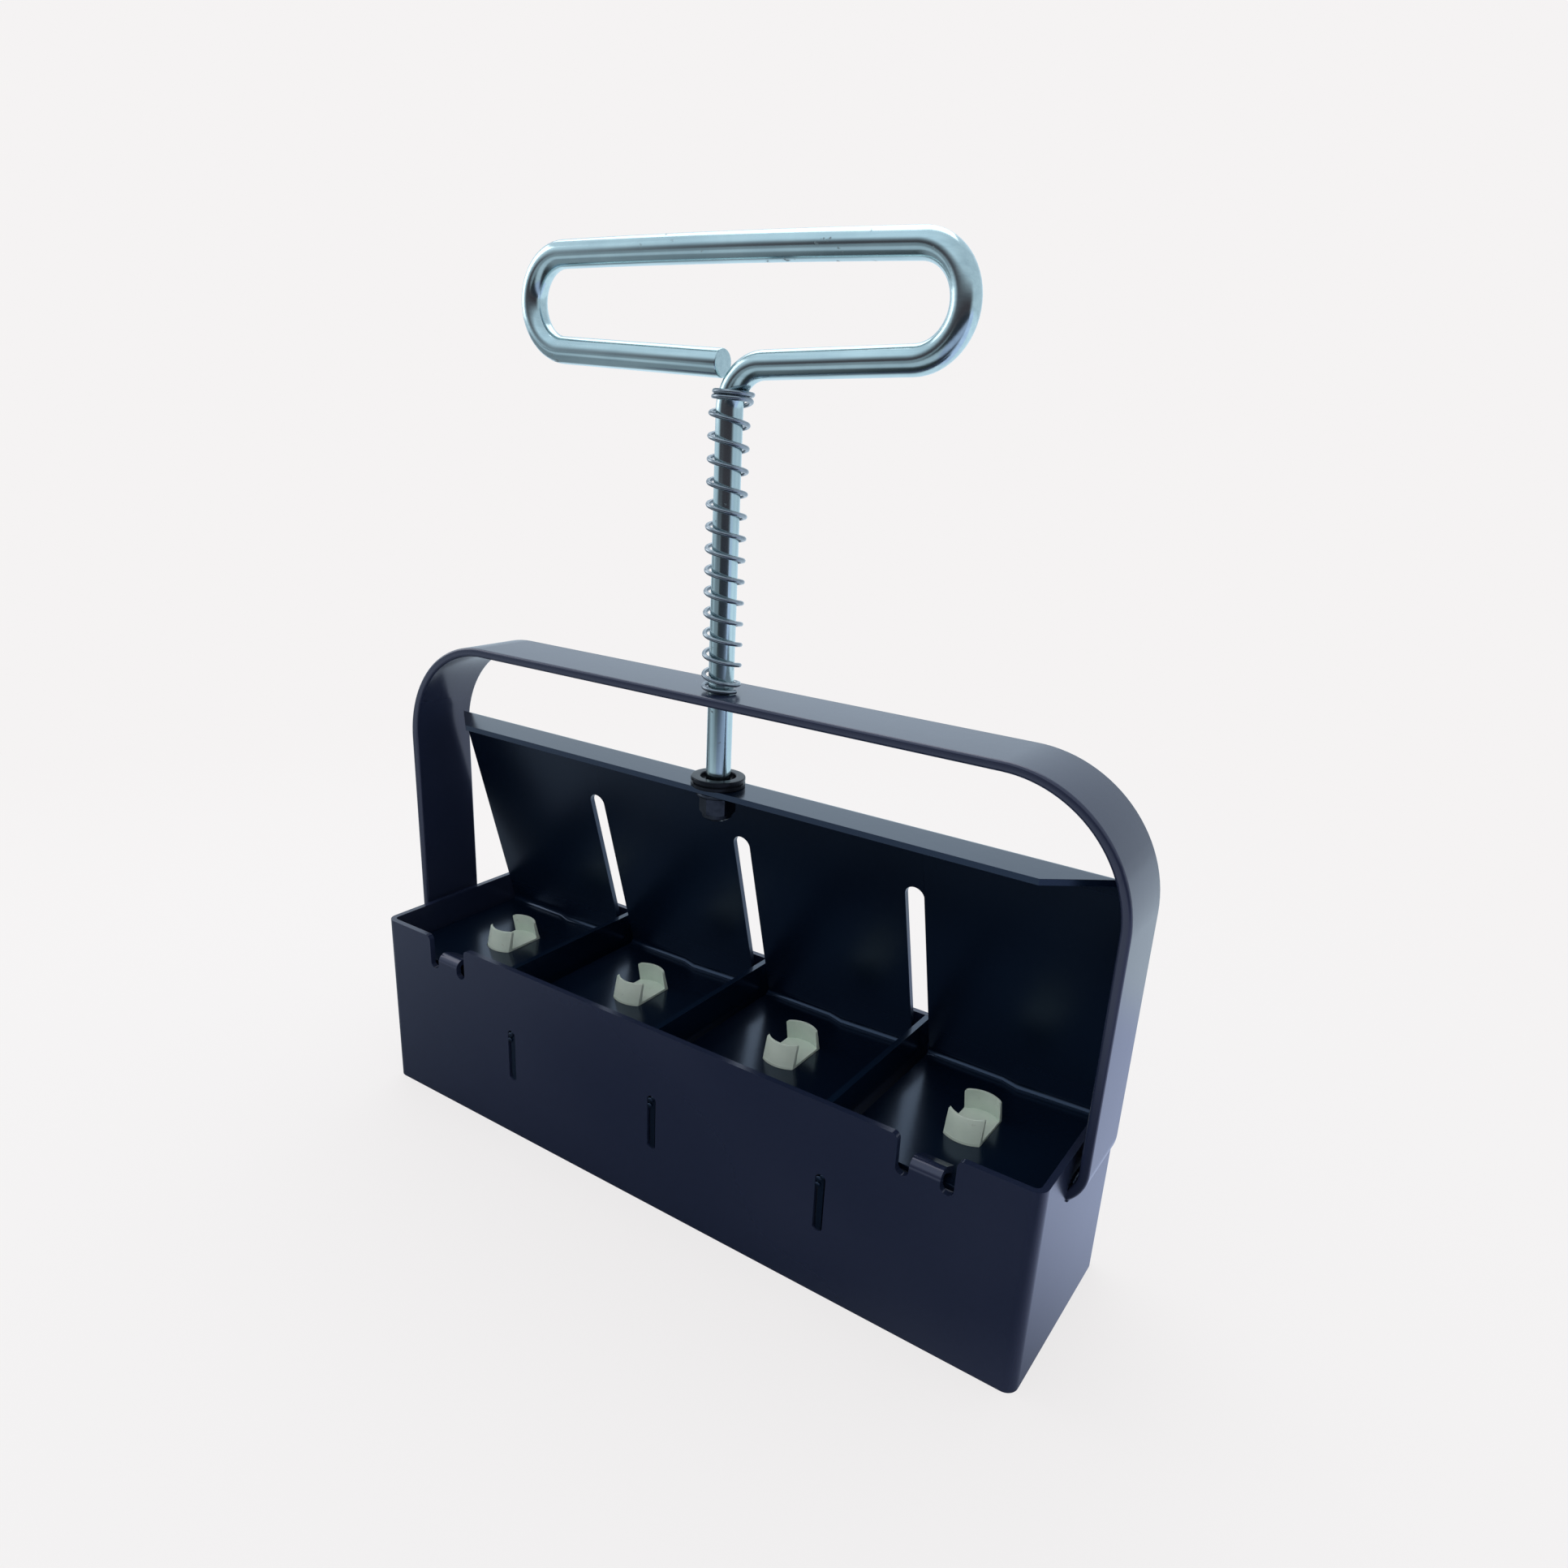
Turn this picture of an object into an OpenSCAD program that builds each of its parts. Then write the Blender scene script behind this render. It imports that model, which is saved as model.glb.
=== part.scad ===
// Four-cell soil blocker: a bottomless sheet-steel mould under a strap frame, and a sprung
// ejector plunger hung on a bent handle rod. Pressing the grip pushes four soil blocks out.
// Origin: middle of the mould's bottom rim. +X along the row of cells, +Y to the back, +Z up.

/* [Mould] */
// Inside length of one cell, along the row
cell_l = 50; // [46:0.5:56]
// Inside width of one cell, front to back
cell_w = 49.6; // [46:0.2:58]
// Height of the mould's walls and dividers
mould_h = 53.5; // [51:0.5:60]
// Sheet thickness of the mould's walls
wall_t = 1.6; // [0.9:0.1:2]
// Outside radius of the mould's upright corners
corner_r = 3; // [2:0.5:5]
// Sheet thickness of the dividers
divider_t = 1.6; // [0.9:0.1:2]
// Height of a divider's side tab
tab_h = 16; // [10:0.2:18]
// Height of the middle of the side tabs above the rim
tab_z = 26.2; // [20:0.1:30]
// Width of the wall slots that the side tabs stand in
tab_slot_w = 2.8; // [2.4:0.1:4]

/* [Stop tabs] */
// Width of a notch in the front wall's top edge
notch_w = 14.4; // [12:0.2:18]
// Depth of a notch, down to the foot of its relief cuts
notch_h = 9.8; // [8.6:0.1:12]
// Width of the stop tab left standing in a notch
stop_w = 7.6; // [5:0.2:9]
// Flat length of a stop tab past its bend
stop_l = 4; // [3.5:0.5:6]
// Drop of a stop tab's top below the wall's top edge
stop_drop = 5; // [4.6:0.1:5.6]

/* [Strap frame] */
// Width of the flat bar
strap_w = 20; // [16:0.2:22]
// Thickness of the flat bar
strap_t = 2.4; // [2:0.1:3]
// Height of the strap's top face above the rim
strap_top = 136.5; // [130:0.5:150]
// Outside radius of the strap's two shoulders
shoulder_r = 31; // [22:1:36]
// Gap between each leg and the end wall
leg_gap = 1.6; // [1:0.1:2.5]
// Depth below the wall's top edge at which the legs turn in
foot_drop = 3.5; // [2:0.5:5]
// Outside radius of the turned-in foot
foot_r = 10.5; // [9:0.5:13]
// Height of the weld that fills the gap above each foot
weld_top = 46.8; // [44:0.1:48]
// Length by which each weld stops short of the strap's edges
weld_short = 1.6; // [0.5:0.1:4]

/* [Plunger plate] */
// Sheet thickness of the folded plunger plate
plate_t = 1.5; // [1:0.1:1.8]
// Height of the ejector plates' top face above the rim
plate_z = 44.8; // [44:0.1:46]
// Full stroke of the plunger
stroke = 42; // [38:0.5:43]
// Inside radius of the two folds
fold_r = 1.6; // [1:0.1:2.5]
// Height of the top flange's upper face above the rim
flange_z = 112.7; // [110:0.1:118]
// Reach of the top flange in front of the middle of the mould
flange_front = 7.2; // [6.8:0.1:10]
// Cut-back of the flange's front corners, along the flange
flange_cut = 14.5; // [8:0.5:16]
// Gap between the plunger plate and the front and back walls
plunger_gap = 0.9; // [0.6:0.1:1.6]
// Gap between the plunger plate and each end wall
end_gap = 2.4; // [1.5:0.1:4]
// Width of the slots that straddle the dividers
web_slot_w = 5.2; // [3.5:0.1:7]
// Gap between the flange's washer and the web's inside corner
fold_gap = 0.9; // [0.6:0.1:3]

/* [Handle rod] */
// Diameter of the rod
rod_d = 6.2; // [6:0.1:7]
// Distance of the rod in front of the middle of the mould
rod_front = 2; // [0:0.1:3]
// Diameter of the stud at the rod's foot
stud_d = 5; // [4:0.5:6]
// Height of the middle of the grip's lower bars
grip_low = 210.7; // [205:0.1:220]
// Middle radius of the grip's two end bends
grip_r = 10.9; // [10:0.1:16]
// Straight of the grip to the left of the rod
grip_left = 51.4; // [44:0.1:56]
// Straight of the grip to the right of the rod
grip_right = 45.4; // [40:0.1:56]
// Middle radius of the bend from the rod into the grip
neck_r = 10; // [9:0.5:12]
// Gap between the cut end of the bar and the neck
cut_gap = 0.6; // [0.4:0.1:1.5]
// Length of the rod below the lock nut
rod_tail = 0.6; // [0.2:0.1:3]

/* [Spring] */
// Diameter of the spring wire
wire_d = 1.1; // [0.9:0.05:1.2]
// Outside diameter of the spring
spring_d = 9.3; // [9.2:0.1:10.5]
// Height above the neck's foot to which the spring's top coil climbs
neck_climb = 3.2; // [0.5:0.1:3.3]
// Number of open turns
open_turns = 13; // [10:1:15]
// Number of close turns at each end
close_turns = 1; // [1:1:2]
// Rise of one close turn
close_pitch = 1.75; // [1.7:0.05:2]

/* [Fasteners] */
// Diameter of the stop collar on the flange
collar_d = 13.7; // [12:0.1:15]
// Height of the stop collar
collar_h = 2.5; // [2:0.1:3.5]
// Diameter of the cup in the collar's top
cup_d = 8.9; // [7.6:0.1:10]
// Diameter of the washer under the flange
washer_d = 11; // [10:0.1:14]
// Thickness of the washer under the flange
washer_t = 1; // [0.8:0.1:1.6]
// Width of the lock nut across its flats
nut_af = 8; // [8:0.5:10]
// Height of the lock nut
nut_h = 6; // [5:0.1:6.5]

/* [Dibble pins] */
// Distance of the pins in front of the middle of the mould
pin_front = 1; // [0:0.1:3]
// Radius of the pin's prongs where they leave the plate
prong_r = 8; // [7:0.1:9]
// Radius of the pin's prongs at their tips
prong_tip_r = 6.6; // [6:0.1:8]
// Height of the prongs above the plate
prong_h = 6; // [5:0.1:8]
// Wall of the prongs
prong_t = 1.1; // [0.8:0.1:1.5]
// Half the width of the pin across its two flats
pin_half_w = 4.6; // [4:0.1:5.5]
// Radius of the pin's disc under the plate
disc_r = 10; // [9.5:0.5:12]
// Thickness of the disc
disc_t = 1.6; // [1.2:0.1:2.2]
// Radius of the dibble at its root
dibble_r = 4; // [3:0.1:5]
// Length of the dibble below the disc
dibble_l = 8; // [6:0.5:12]

/* [Clearances] */
// Radial clearance of the rod in the strap and the flange
rod_clear = 0.15; // [0.1:0.01:0.3]
// Radial clearance of the collar, washer and nut on the rod
ring_clear = 0.05; // [0.03:0.01:0.1]
// Clearance of a divider between the walls, each side
divider_clear = 0.1; // [0.05:0.05:0.2]
// Clearance between a pin and its hole, each side
pin_clear = 0.15; // [0.1:0.05:0.3]
// Clearance that closed parts keep at rest
rest_gap = 0.3; // [0.2:0.05:0.4]

/* [Hidden] */
$fn = 48;
cells = 4;
cut = 1; // overrun of a cutting shape past the face it opens

paint = [0.11, 0.13, 0.19];
zinc = [0.72, 0.76, 0.78];
steel = [0.52, 0.54, 0.57];
blackened = [0.13, 0.14, 0.16];
plastic = [0.80, 0.85, 0.77];

// the row of cells
pitch = cell_l + divider_t;
inner_l = cells * cell_l + (cells - 1) * divider_t;
box_l = inner_l + 2 * wall_t;
box_w = cell_w + 2 * wall_t;
function cell_x(i) = (i - (cells - 1) / 2) * pitch;
function divider_x(i) = (i - (cells - 2) / 2) * pitch;

// the stop tabs, in side view from the front wall
stop_in_r = 0.8;
stop_bend_z = mould_h - stop_drop - stop_in_r - wall_t;
relief_w = (notch_w - stop_w) / 2;
notch_round = 2.2;
stop_lean = asin((stop_bend_z + stop_in_r - plate_z - rest_gap) / stop_l);

// the strap
leg_x = box_l / 2 + leg_gap;
strap_half = leg_x + strap_t;
foot_z = mould_h - foot_drop;
foot_angle = acos((box_l / 2 - strap_half + foot_r) / foot_r);
foot_end_z = foot_z - foot_r * sin(foot_angle);

// the folded plunger plate, in side view: its inside corners
plate_front = -cell_w / 2 + plunger_gap;
web_foot_y = cell_w / 2 - plunger_gap - plate_t - 0.2;
under_flange = flange_z - plate_t;
web_head_y = washer_d / 2 + fold_gap - rod_front;
web_lean = atan((web_foot_y - web_head_y) / (under_flange - plate_z));
web_half = inner_l / 2 - end_gap;
slot_top = mould_h + stroke + rest_gap;

// the rod
nut_top = under_flange - washer_t;
rod_foot = nut_top - nut_h - rod_tail;
neck_z = grip_low - neck_r;
grip_high = grip_low + 2 * grip_r;
// how far the neck's outside has moved over at the height of the cut end's underside
neck_bulge = neck_r - sqrt(pow(neck_r + rod_d / 2, 2) - pow(neck_r - rod_d / 2, 2)) + rod_d / 2;
cut_end_x = -rod_d / 2 - cut_gap + neck_bulge;

// the spring, from the strap's top to where the neck starts to widen
spring_r = (spring_d - wire_d) / 2;
spring_foot = strap_top + wire_d / 2 + 0.05;
spring_head = neck_z + neck_climb;
turns = open_turns + 2 * close_turns;
open_pitch = (spring_head - spring_foot - 2 * close_turns * close_pitch) / open_turns;
rings_per_turn = 8;
wire_sides = 6;

// ---- flat outlines ----

module rounded_rect(l, w, r) {
    square([l - 2 * r, w], center = true);
    square([l, w - 2 * r], center = true);
    for (x = [-1, 1], y = [-1, 1])
        translate([x * (l / 2 - r), y * (w / 2 - r)]) circle(r);
}

// a wedge that reaches past radius r, from angle a0 to a1 (under 180 degrees apart)
module wedge(r, a0, a1) {
    mid = (a0 + a1) / 2;
    far = 2 * r / cos((a1 - a0) / 2);
    polygon([[0, 0], [2 * r * cos(a0), 2 * r * sin(a0)],
             [far * cos(mid), far * sin(mid)], [2 * r * cos(a1), 2 * r * sin(a1)]]);
}

// a bend in sheet or bar of thickness t round its inside radius r
module bend(r, t, a0, a1) {
    intersection() {
        difference() {
            circle(r + t);
            circle(r);
        }
        wedge(r + t, a0, a1);
    }
}

// a circle of radius r with two flats, half_w from its middle
module double_d(r, half_w) {
    intersection() {
        circle(r);
        square([2 * half_w, 4 * r], center = true);
    }
}

// stands a flat outline up: its x runs along +Y and its y along +Z, over length l centred on x
module along_x(l) {
    rotate([90, 0, 90]) translate([0, 0, -l / 2]) linear_extrude(l) children();
}

// stands a flat outline up: its x runs along +X and its y along +Z, over width w centred on y
module along_y(w) {
    rotate([90, 0, 0]) translate([0, 0, -w / 2]) linear_extrude(w) children();
}

// ---- mould ----

// front-view outline of one notch, with its two round-footed relief cuts
module notch_outline() {
    foot = mould_h - notch_h;
    for (s = [-1, 1]) translate([s * (notch_w - relief_w) / 2, foot + relief_w / 2]) {
        circle(d = relief_w);
        translate([-relief_w / 2, 0]) square([relief_w, notch_h]);
    }
    translate([-stop_w / 2, stop_bend_z]) square([stop_w, notch_h]);
    for (s = [-1, 1]) difference() {
        translate([s * (notch_w + notch_round) / 2, mould_h - notch_round / 2 + cut / 2])
            square([notch_round, notch_round + cut], center = true);
        translate([s * (notch_w / 2 + notch_round), mould_h - notch_round]) circle(notch_round);
    }
}

// side-view outline of a stop tab: the wall's sheet folded in and down onto the ejector plate
module stop_outline() {
    translate([-cell_w / 2 + stop_in_r, stop_bend_z]) {
        intersection() {
            bend(stop_in_r, wall_t, 90 - stop_lean, 180);
            translate([-4 * wall_t, 0]) square(8 * wall_t);
        }
        rotate(-stop_lean) translate([0, stop_in_r]) square([stop_l, wall_t]);
    }
}

module mould_wrap() {
    color(paint) {
        difference() {
            linear_extrude(mould_h) difference() {
                rounded_rect(box_l, box_w, corner_r);
                rounded_rect(inner_l, cell_w, corner_r - wall_t);
            }
            for (i = [0, cells - 1])
                translate([cell_x(i), -cell_w / 2, 0]) along_y(2 * corner_r) notch_outline();
            for (i = [0 : cells - 2])
                translate([divider_x(i), 0, tab_z])
                    cube([tab_slot_w, box_w + 2 * cut, tab_h + 2 * divider_clear], center = true);
        }
        for (i = [0, cells - 1]) translate([cell_x(i), 0, 0]) along_x(stop_w) stop_outline();
    }
}

// a cross wall with one tab at each side
module divider(i) {
    width = cell_w - 2 * divider_clear;
    color(paint) translate([divider_x(i), 0, 0]) {
        translate([-divider_t / 2, -width / 2, 0]) cube([divider_t, width, mould_h]);
        translate([-divider_t / 2, -box_w / 2, tab_z - tab_h / 2])
            cube([divider_t, box_w, tab_h]);
    }
}

module divider_left() divider(0);
module divider_middle() divider(1);
module divider_right() divider(2);

// ---- strap frame ----

// front-view outline of an arch that stands on z = foot_z
module arch_outline(half, top, r) {
    translate([-half, foot_z - cut]) square([2 * half, top - r - foot_z + cut]);
    translate([r - half, foot_z - cut]) square([2 * (half - r), top - foot_z + cut]);
    for (s = [-1, 1]) translate([s * (half - r), top - r]) circle(r);
}

// front-view outline of the right foot, turned in until it meets the end wall
module foot_outline() {
    intersection() {
        translate([strap_half - foot_r, foot_z]) bend(foot_r - strap_t, strap_t, -80, 0);
        translate([box_l / 2, 0]) square([strap_half, foot_z + cut]);
    }
}

module strap_outline() {
    intersection() {
        difference() {
            arch_outline(strap_half, strap_top, shoulder_r);
            arch_outline(leg_x, strap_top - strap_t, shoulder_r - strap_t);
        }
        translate([-2 * strap_half, foot_z]) square([4 * strap_half, strap_top]);
    }
    foot_outline();
    mirror([1, 0]) foot_outline();
}

module strap_frame() {
    color(paint) difference() {
        along_y(strap_w) strap_outline();
        translate([0, -rod_front, strap_top - strap_t - cut])
            cylinder(h = strap_t + 2 * cut, r = rod_d / 2 + rod_clear);
    }
}

// the weld that fills the gap between the right leg and the end wall, down onto the foot
module weld_outline() {
    difference() {
        translate([box_l / 2, foot_z - foot_r]) square([leg_gap, weld_top - foot_z + foot_r]);
        difference() {
            translate([strap_half - foot_r, foot_z - foot_r]) square([foot_r, foot_r]);
            translate([strap_half - foot_r, foot_z]) circle(foot_r - strap_t);
        }
    }
}

module strap_weld_right() color(paint) along_y(strap_w - 2 * weld_short) weld_outline();
module strap_weld_left() mirror([1, 0, 0]) strap_weld_right();

// ---- spring ----

// height of the wire's middle after t turns: close, open, close
function spring_z(t) = spring_foot
    + min(t, close_turns) * close_pitch
    + max(0, min(t - close_turns, open_turns)) * open_pitch
    + max(0, t - close_turns - open_turns) * close_pitch;
// the coils at the top move over with the rod's neck, midway between its two sides
function neck_side(r, h) = neck_r - sqrt(r * r - h * h);
function neck_shift(h) =
    (neck_side(neck_r - rod_d / 2, h) + neck_side(neck_r + rod_d / 2, h)) / 2;
function spring_point(t) = [
    neck_shift(max(0, spring_z(t) - neck_z)) + spring_r * cos(-360 * t),
    spring_r * sin(-360 * t) - rod_front, spring_z(t)];

// one corner of the wire's section, on the ring at turn t
function wire_corner(t, k) =
    let (a = -360 * t, b = 360 * k / wire_sides, w = wire_d / 2)
    spring_point(t) + [w * cos(b) * cos(a), w * cos(b) * sin(a), w * sin(b)];

function gap_between(t, u) = norm(spring_point(t) - spring_point(u)) - wire_d;
least_gap = min([for (i = [0 : rings_per_turn * (turns - 1)], j = [-2 : 2])
    gap_between(i / rings_per_turn, min(turns, (i + j) / rings_per_turn + 1))]);

module return_spring() {
    rings = turns * rings_per_turn;
    last = rings * wire_sides;
    points = [for (i = [0 : rings], k = [0 : wire_sides - 1]) wire_corner(i / rings_per_turn, k)];
    sides = [for (i = [0 : rings - 1], k = [0 : wire_sides - 1])
        let (n = (k + 1) % wire_sides, a = i * wire_sides, b = a + wire_sides)
        each [[a + k, a + n, b + k], [a + n, b + n, b + k]]];
    ends = [for (k = [1 : wire_sides - 2])
        each [[0, k + 1, k], [last, last + k, last + k + 1]]];
    echo(spring_least_gap_mm = least_gap);
    color(steel) polyhedron(points = points, faces = concat(sides, ends));
}

// ---- plunger ----

// side-view outline of the folded sheet: ejector plate, leaning web, top flange
module plate_outline() {
    web_l = (under_flange - plate_z) / cos(web_lean);
    foot_run = fold_r * tan(45 + web_lean / 2);
    head_run = fold_r * tan(45 - web_lean / 2);
    translate([plate_front, plate_z - plate_t])
        square([web_foot_y - foot_run - plate_front, plate_t]);
    translate([web_foot_y - foot_run, plate_z + fold_r]) bend(fold_r, plate_t, -90, web_lean);
    translate([web_foot_y, plate_z]) rotate(web_lean) translate([0, foot_run])
        square([plate_t, web_l - foot_run - head_run]);
    translate([web_head_y - head_run, under_flange - fold_r]) bend(fold_r, plate_t, web_lean, 90);
    translate([-flange_front, under_flange])
        square([web_head_y - head_run + flange_front, plate_t]);
}

// a slot that straddles divider i: round-topped up the web, and right through the plates
module straddle_slot(i) {
    slot_l = (slot_top - plate_z) / cos(web_lean);
    translate([divider_x(i), 0, 0]) {
        translate([0, web_foot_y, plate_z]) rotate([web_lean, 0, 0]) along_y(8 * plate_t) {
            translate([-web_slot_w / 2, -8 * plate_t])
                square([web_slot_w, slot_l + 8 * plate_t - web_slot_w / 2]);
            translate([0, slot_l - web_slot_w / 2]) circle(d = web_slot_w);
        }
        translate([-web_slot_w / 2, -box_w / 2, plate_z - plate_t - cut])
            cube([web_slot_w, box_w, plate_t + 2 * cut]);
    }
}

// cuts the flange's front corner back, from its front edge to the web
module corner_cut() {
    reach = flange_front + web_head_y;
    past = reach * (1 + cut / flange_cut);
    translate([0, 0, under_flange - cut]) linear_extrude(plate_t + 2 * cut) polygon([
        [web_half - flange_cut, -flange_front], [web_half + cut, past - flange_front],
        [web_half + cut, -flange_front - cut], [web_half - flange_cut, -flange_front - cut]]);
}

module plunger_plate() {
    color(paint) difference() {
        along_x(2 * web_half) plate_outline();
        for (i = [0 : cells - 2]) straddle_slot(i);
        corner_cut();
        mirror([1, 0, 0]) corner_cut();
        translate([0, -rod_front, under_flange - cut])
            cylinder(h = plate_t + 2 * cut, r = stud_d / 2 + rod_clear);
        for (i = [0 : cells - 1]) translate([cell_x(i), -pin_front, plate_z - plate_t - cut])
            linear_extrude(plate_t + 2 * cut)
                double_d(prong_r + pin_clear, pin_half_w + pin_clear);
    }
}

// a bent length of rod in the XZ plane, turning from angle a0 by turn degrees round (0, 0)
module rod_bend(r, a0, turn) {
    rotate([90, 0, 0]) rotate([0, 0, a0]) rotate_extrude(angle = turn) translate([r, 0]) circle(d = rod_d);
}

// a straight length of rod along +X
module rod_bar(x0, x1, z) {
    translate([x0, 0, z]) rotate([0, 90, 0]) cylinder(h = x1 - x0, d = rod_d);
}

module handle_rod() {
    color(zinc) translate([0, -rod_front, 0]) {
        translate([0, 0, rod_foot]) cylinder(h = flange_z - rod_foot, d = stud_d);
        translate([0, 0, flange_z]) cylinder(h = neck_z - flange_z, d = rod_d);
        translate([neck_r, 0, neck_z]) rod_bend(neck_r, 90, 90);
        rod_bar(neck_r, grip_right, grip_low);
        translate([grip_right, 0, grip_low + grip_r]) rod_bend(grip_r, -90, 180);
        rod_bar(-grip_left, grip_right, grip_high);
        translate([-grip_left, 0, grip_low + grip_r]) rod_bend(grip_r, 90, 180);
        rod_bar(-grip_left, cut_end_x, grip_low);
    }
}

// a turned ring with a waist and a cupped top
module stop_collar() {
    bore = rod_d / 2 + ring_clear;
    waist_z = collar_h / 2;
    waist_h = 0.35;
    waist_depth = 0.5;
    edge = 0.3;
    color(blackened) translate([0, -rod_front, flange_z]) rotate_extrude() polygon([
        [bore, 0], [collar_d / 2 - edge, 0], [collar_d / 2, edge],
        [collar_d / 2, waist_z - waist_h], [collar_d / 2 - waist_depth, waist_z],
        [collar_d / 2, waist_z + waist_h], [collar_d / 2, collar_h - edge],
        [collar_d / 2 - edge, collar_h], [cup_d / 2, collar_h],
        [cup_d / 2, collar_h - 1], [bore, collar_h - 1]]);
}

module flange_washer() {
    color(steel) translate([0, -rod_front, nut_top]) difference() {
        cylinder(h = washer_t, d = washer_d);
        translate([0, 0, -cut]) cylinder(h = washer_t + 2 * cut, r = stud_d / 2 + ring_clear);
    }
}

// a hexagon nut with a round nylon collar at its foot
module lock_nut() {
    collar = 1.2;
    color(steel) translate([0, -rod_front, nut_top - nut_h]) difference() {
        union() {
            translate([0, 0, collar])
                cylinder(h = nut_h - collar, d = nut_af / cos(30), $fn = 6);
            cylinder(h = collar, d1 = nut_af - 1.2, d2 = nut_af - 0.2);
        }
        translate([0, 0, -cut]) cylinder(h = nut_h + 2 * cut, r = stud_d / 2 + ring_clear);
    }
}

// ---- dibble pins ----

// a seed-hole pin: the dibble and disc under the plate, two prongs sprung through it
module dibble_pin(i) {
    tip_r = dibble_r * 0.8;
    color(plastic) translate([cell_x(i), -pin_front, plate_z]) {
        intersection() {
            difference() {
                cylinder(h = prong_h, r1 = prong_r, r2 = prong_tip_r);
                cylinder(h = prong_h + 0.01, r1 = prong_r - prong_t, r2 = prong_tip_r - prong_t);
            }
            translate([-pin_half_w, -2 * prong_r, 0]) cube([2 * pin_half_w, 4 * prong_r, prong_h]);
        }
        translate([0, 0, -plate_t]) linear_extrude(plate_t + rest_gap)
            double_d(prong_r - rest_gap / 2, pin_half_w);
        translate([0, 0, -plate_t - disc_t]) cylinder(h = disc_t, r = disc_r);
        translate([0, 0, -plate_t - disc_t - dibble_l]) {
            translate([0, 0, tip_r]) cylinder(h = dibble_l - tip_r, r1 = tip_r, r2 = dibble_r);
            translate([0, 0, tip_r]) sphere(tip_r);
        }
    }
}

module dibble_pin_1() dibble_pin(0);
module dibble_pin_2() dibble_pin(1);
module dibble_pin_3() dibble_pin(2);
module dibble_pin_4() dibble_pin(3);

mould_wrap();
divider_left();
divider_middle();
divider_right();
strap_frame();
strap_weld_left();
strap_weld_right();
return_spring();
plunger_plate();
handle_rod();
stop_collar();
flange_washer();
lock_nut();
dibble_pin_1();
dibble_pin_2();
dibble_pin_3();
dibble_pin_4();
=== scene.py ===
import math
import bpy
import bmesh
from mathutils import Matrix, Quaternion, Vector


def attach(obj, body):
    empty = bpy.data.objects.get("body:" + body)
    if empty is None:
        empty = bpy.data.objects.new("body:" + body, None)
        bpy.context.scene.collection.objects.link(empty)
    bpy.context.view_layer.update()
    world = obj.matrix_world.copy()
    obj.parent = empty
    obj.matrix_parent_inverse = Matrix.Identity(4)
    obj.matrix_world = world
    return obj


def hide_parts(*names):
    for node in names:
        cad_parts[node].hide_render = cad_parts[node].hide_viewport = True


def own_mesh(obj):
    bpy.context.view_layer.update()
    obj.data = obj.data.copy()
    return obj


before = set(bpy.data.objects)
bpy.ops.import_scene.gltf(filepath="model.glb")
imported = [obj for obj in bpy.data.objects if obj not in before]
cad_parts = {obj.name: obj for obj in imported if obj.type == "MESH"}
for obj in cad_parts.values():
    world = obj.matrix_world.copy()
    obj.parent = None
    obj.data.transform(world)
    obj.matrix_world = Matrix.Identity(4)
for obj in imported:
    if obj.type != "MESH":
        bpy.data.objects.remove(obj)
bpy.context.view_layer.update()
print("frame loaded:", len(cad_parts), "nodes")

mm = 0.001
up, right, back = Vector((0, 0, 1)), Vector((1, 0, 0)), Vector((0, 1, 0))
standUp = Matrix.Rotation(math.pi / 2, 3, "X")  # stands a flat outline up, to face along y

# modelling helpers; everything is drawn in millimetres

bench = {
    "merge": 0.001,  # points nearer than this become one
    "afterCut": 0.004, "shortEdge": 0.002,  # the same, and the shortest edge kept, after a boolean step
    "near": 0.01,  # how close a point lies to a plane that it belongs to
    "axis": 0.001,  # a solid profile starts this near its axis
    "steep": 0.9,  # a direction with this much z in it is upright
    "slotSides": 28, "flatWeight": 90,
}


def sweep(bm, section, at, heading, axis, moves):
    # carries a section (verts and edges) along straights ("go", length, cuts) and
    # turns ("turn", radius, degrees, cuts) about axis, and returns the last section
    at, heading, axis = Vector(at), Vector(heading).normalized(), Vector(axis)
    for kind, *size in moves:
        if kind == "go":
            length, cuts = size
            section = bmesh.ops.spin(bm, geom=section, cent=at, axis=axis, angle=0, steps=cuts,
                                     dvec=heading * (length / cuts))["geom_last"]
            at = at + heading * length
        else:
            radius, degrees, cuts = size
            side = axis.cross(heading) * math.copysign(1, degrees)
            centre = at + side * radius
            turn = math.radians(degrees)
            section = bmesh.ops.spin(bm, geom=section, cent=centre, axis=axis, angle=turn,
                                     steps=cuts)["geom_last"]
            swing = Quaternion(axis, turn)
            at = centre + swing @ (at - centre)
            heading = swing @ heading
    return section


def circleSection(bm, radius, sides, at, upright=False):
    # a circle to sweep: flat, or upright and facing along y
    made = bmesh.ops.create_circle(bm, cap_ends=False, radius=radius, segments=sides)["verts"]
    if upright:
        bmesh.ops.rotate(bm, cent=(0, 0, 0), matrix=standUp, verts=made)
    bmesh.ops.translate(bm, vec=at, verts=made)
    return bm.verts[:] + bm.edges[:]


def capHoles(bm):
    bmesh.ops.holes_fill(bm, edges=[e for e in bm.edges if e.is_boundary], sides=0)


def bevel(bm, geom, offset, segments, affect="EDGES"):
    bmesh.ops.bevel(bm, geom=geom, offset=offset, segments=segments, profile=0.5, affect=affect,
                    material=-1, offset_type="OFFSET")


def sliceMesh(bm, at, facing, dropFront=False):
    # new edges where a plane crosses the mesh; what lies in front of it can go
    bmesh.ops.bisect_plane(bm, geom=bm.verts[:] + bm.edges[:] + bm.faces[:], dist=bench["merge"],
                           plane_co=at, plane_no=facing, clear_outer=dropFront)


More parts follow.
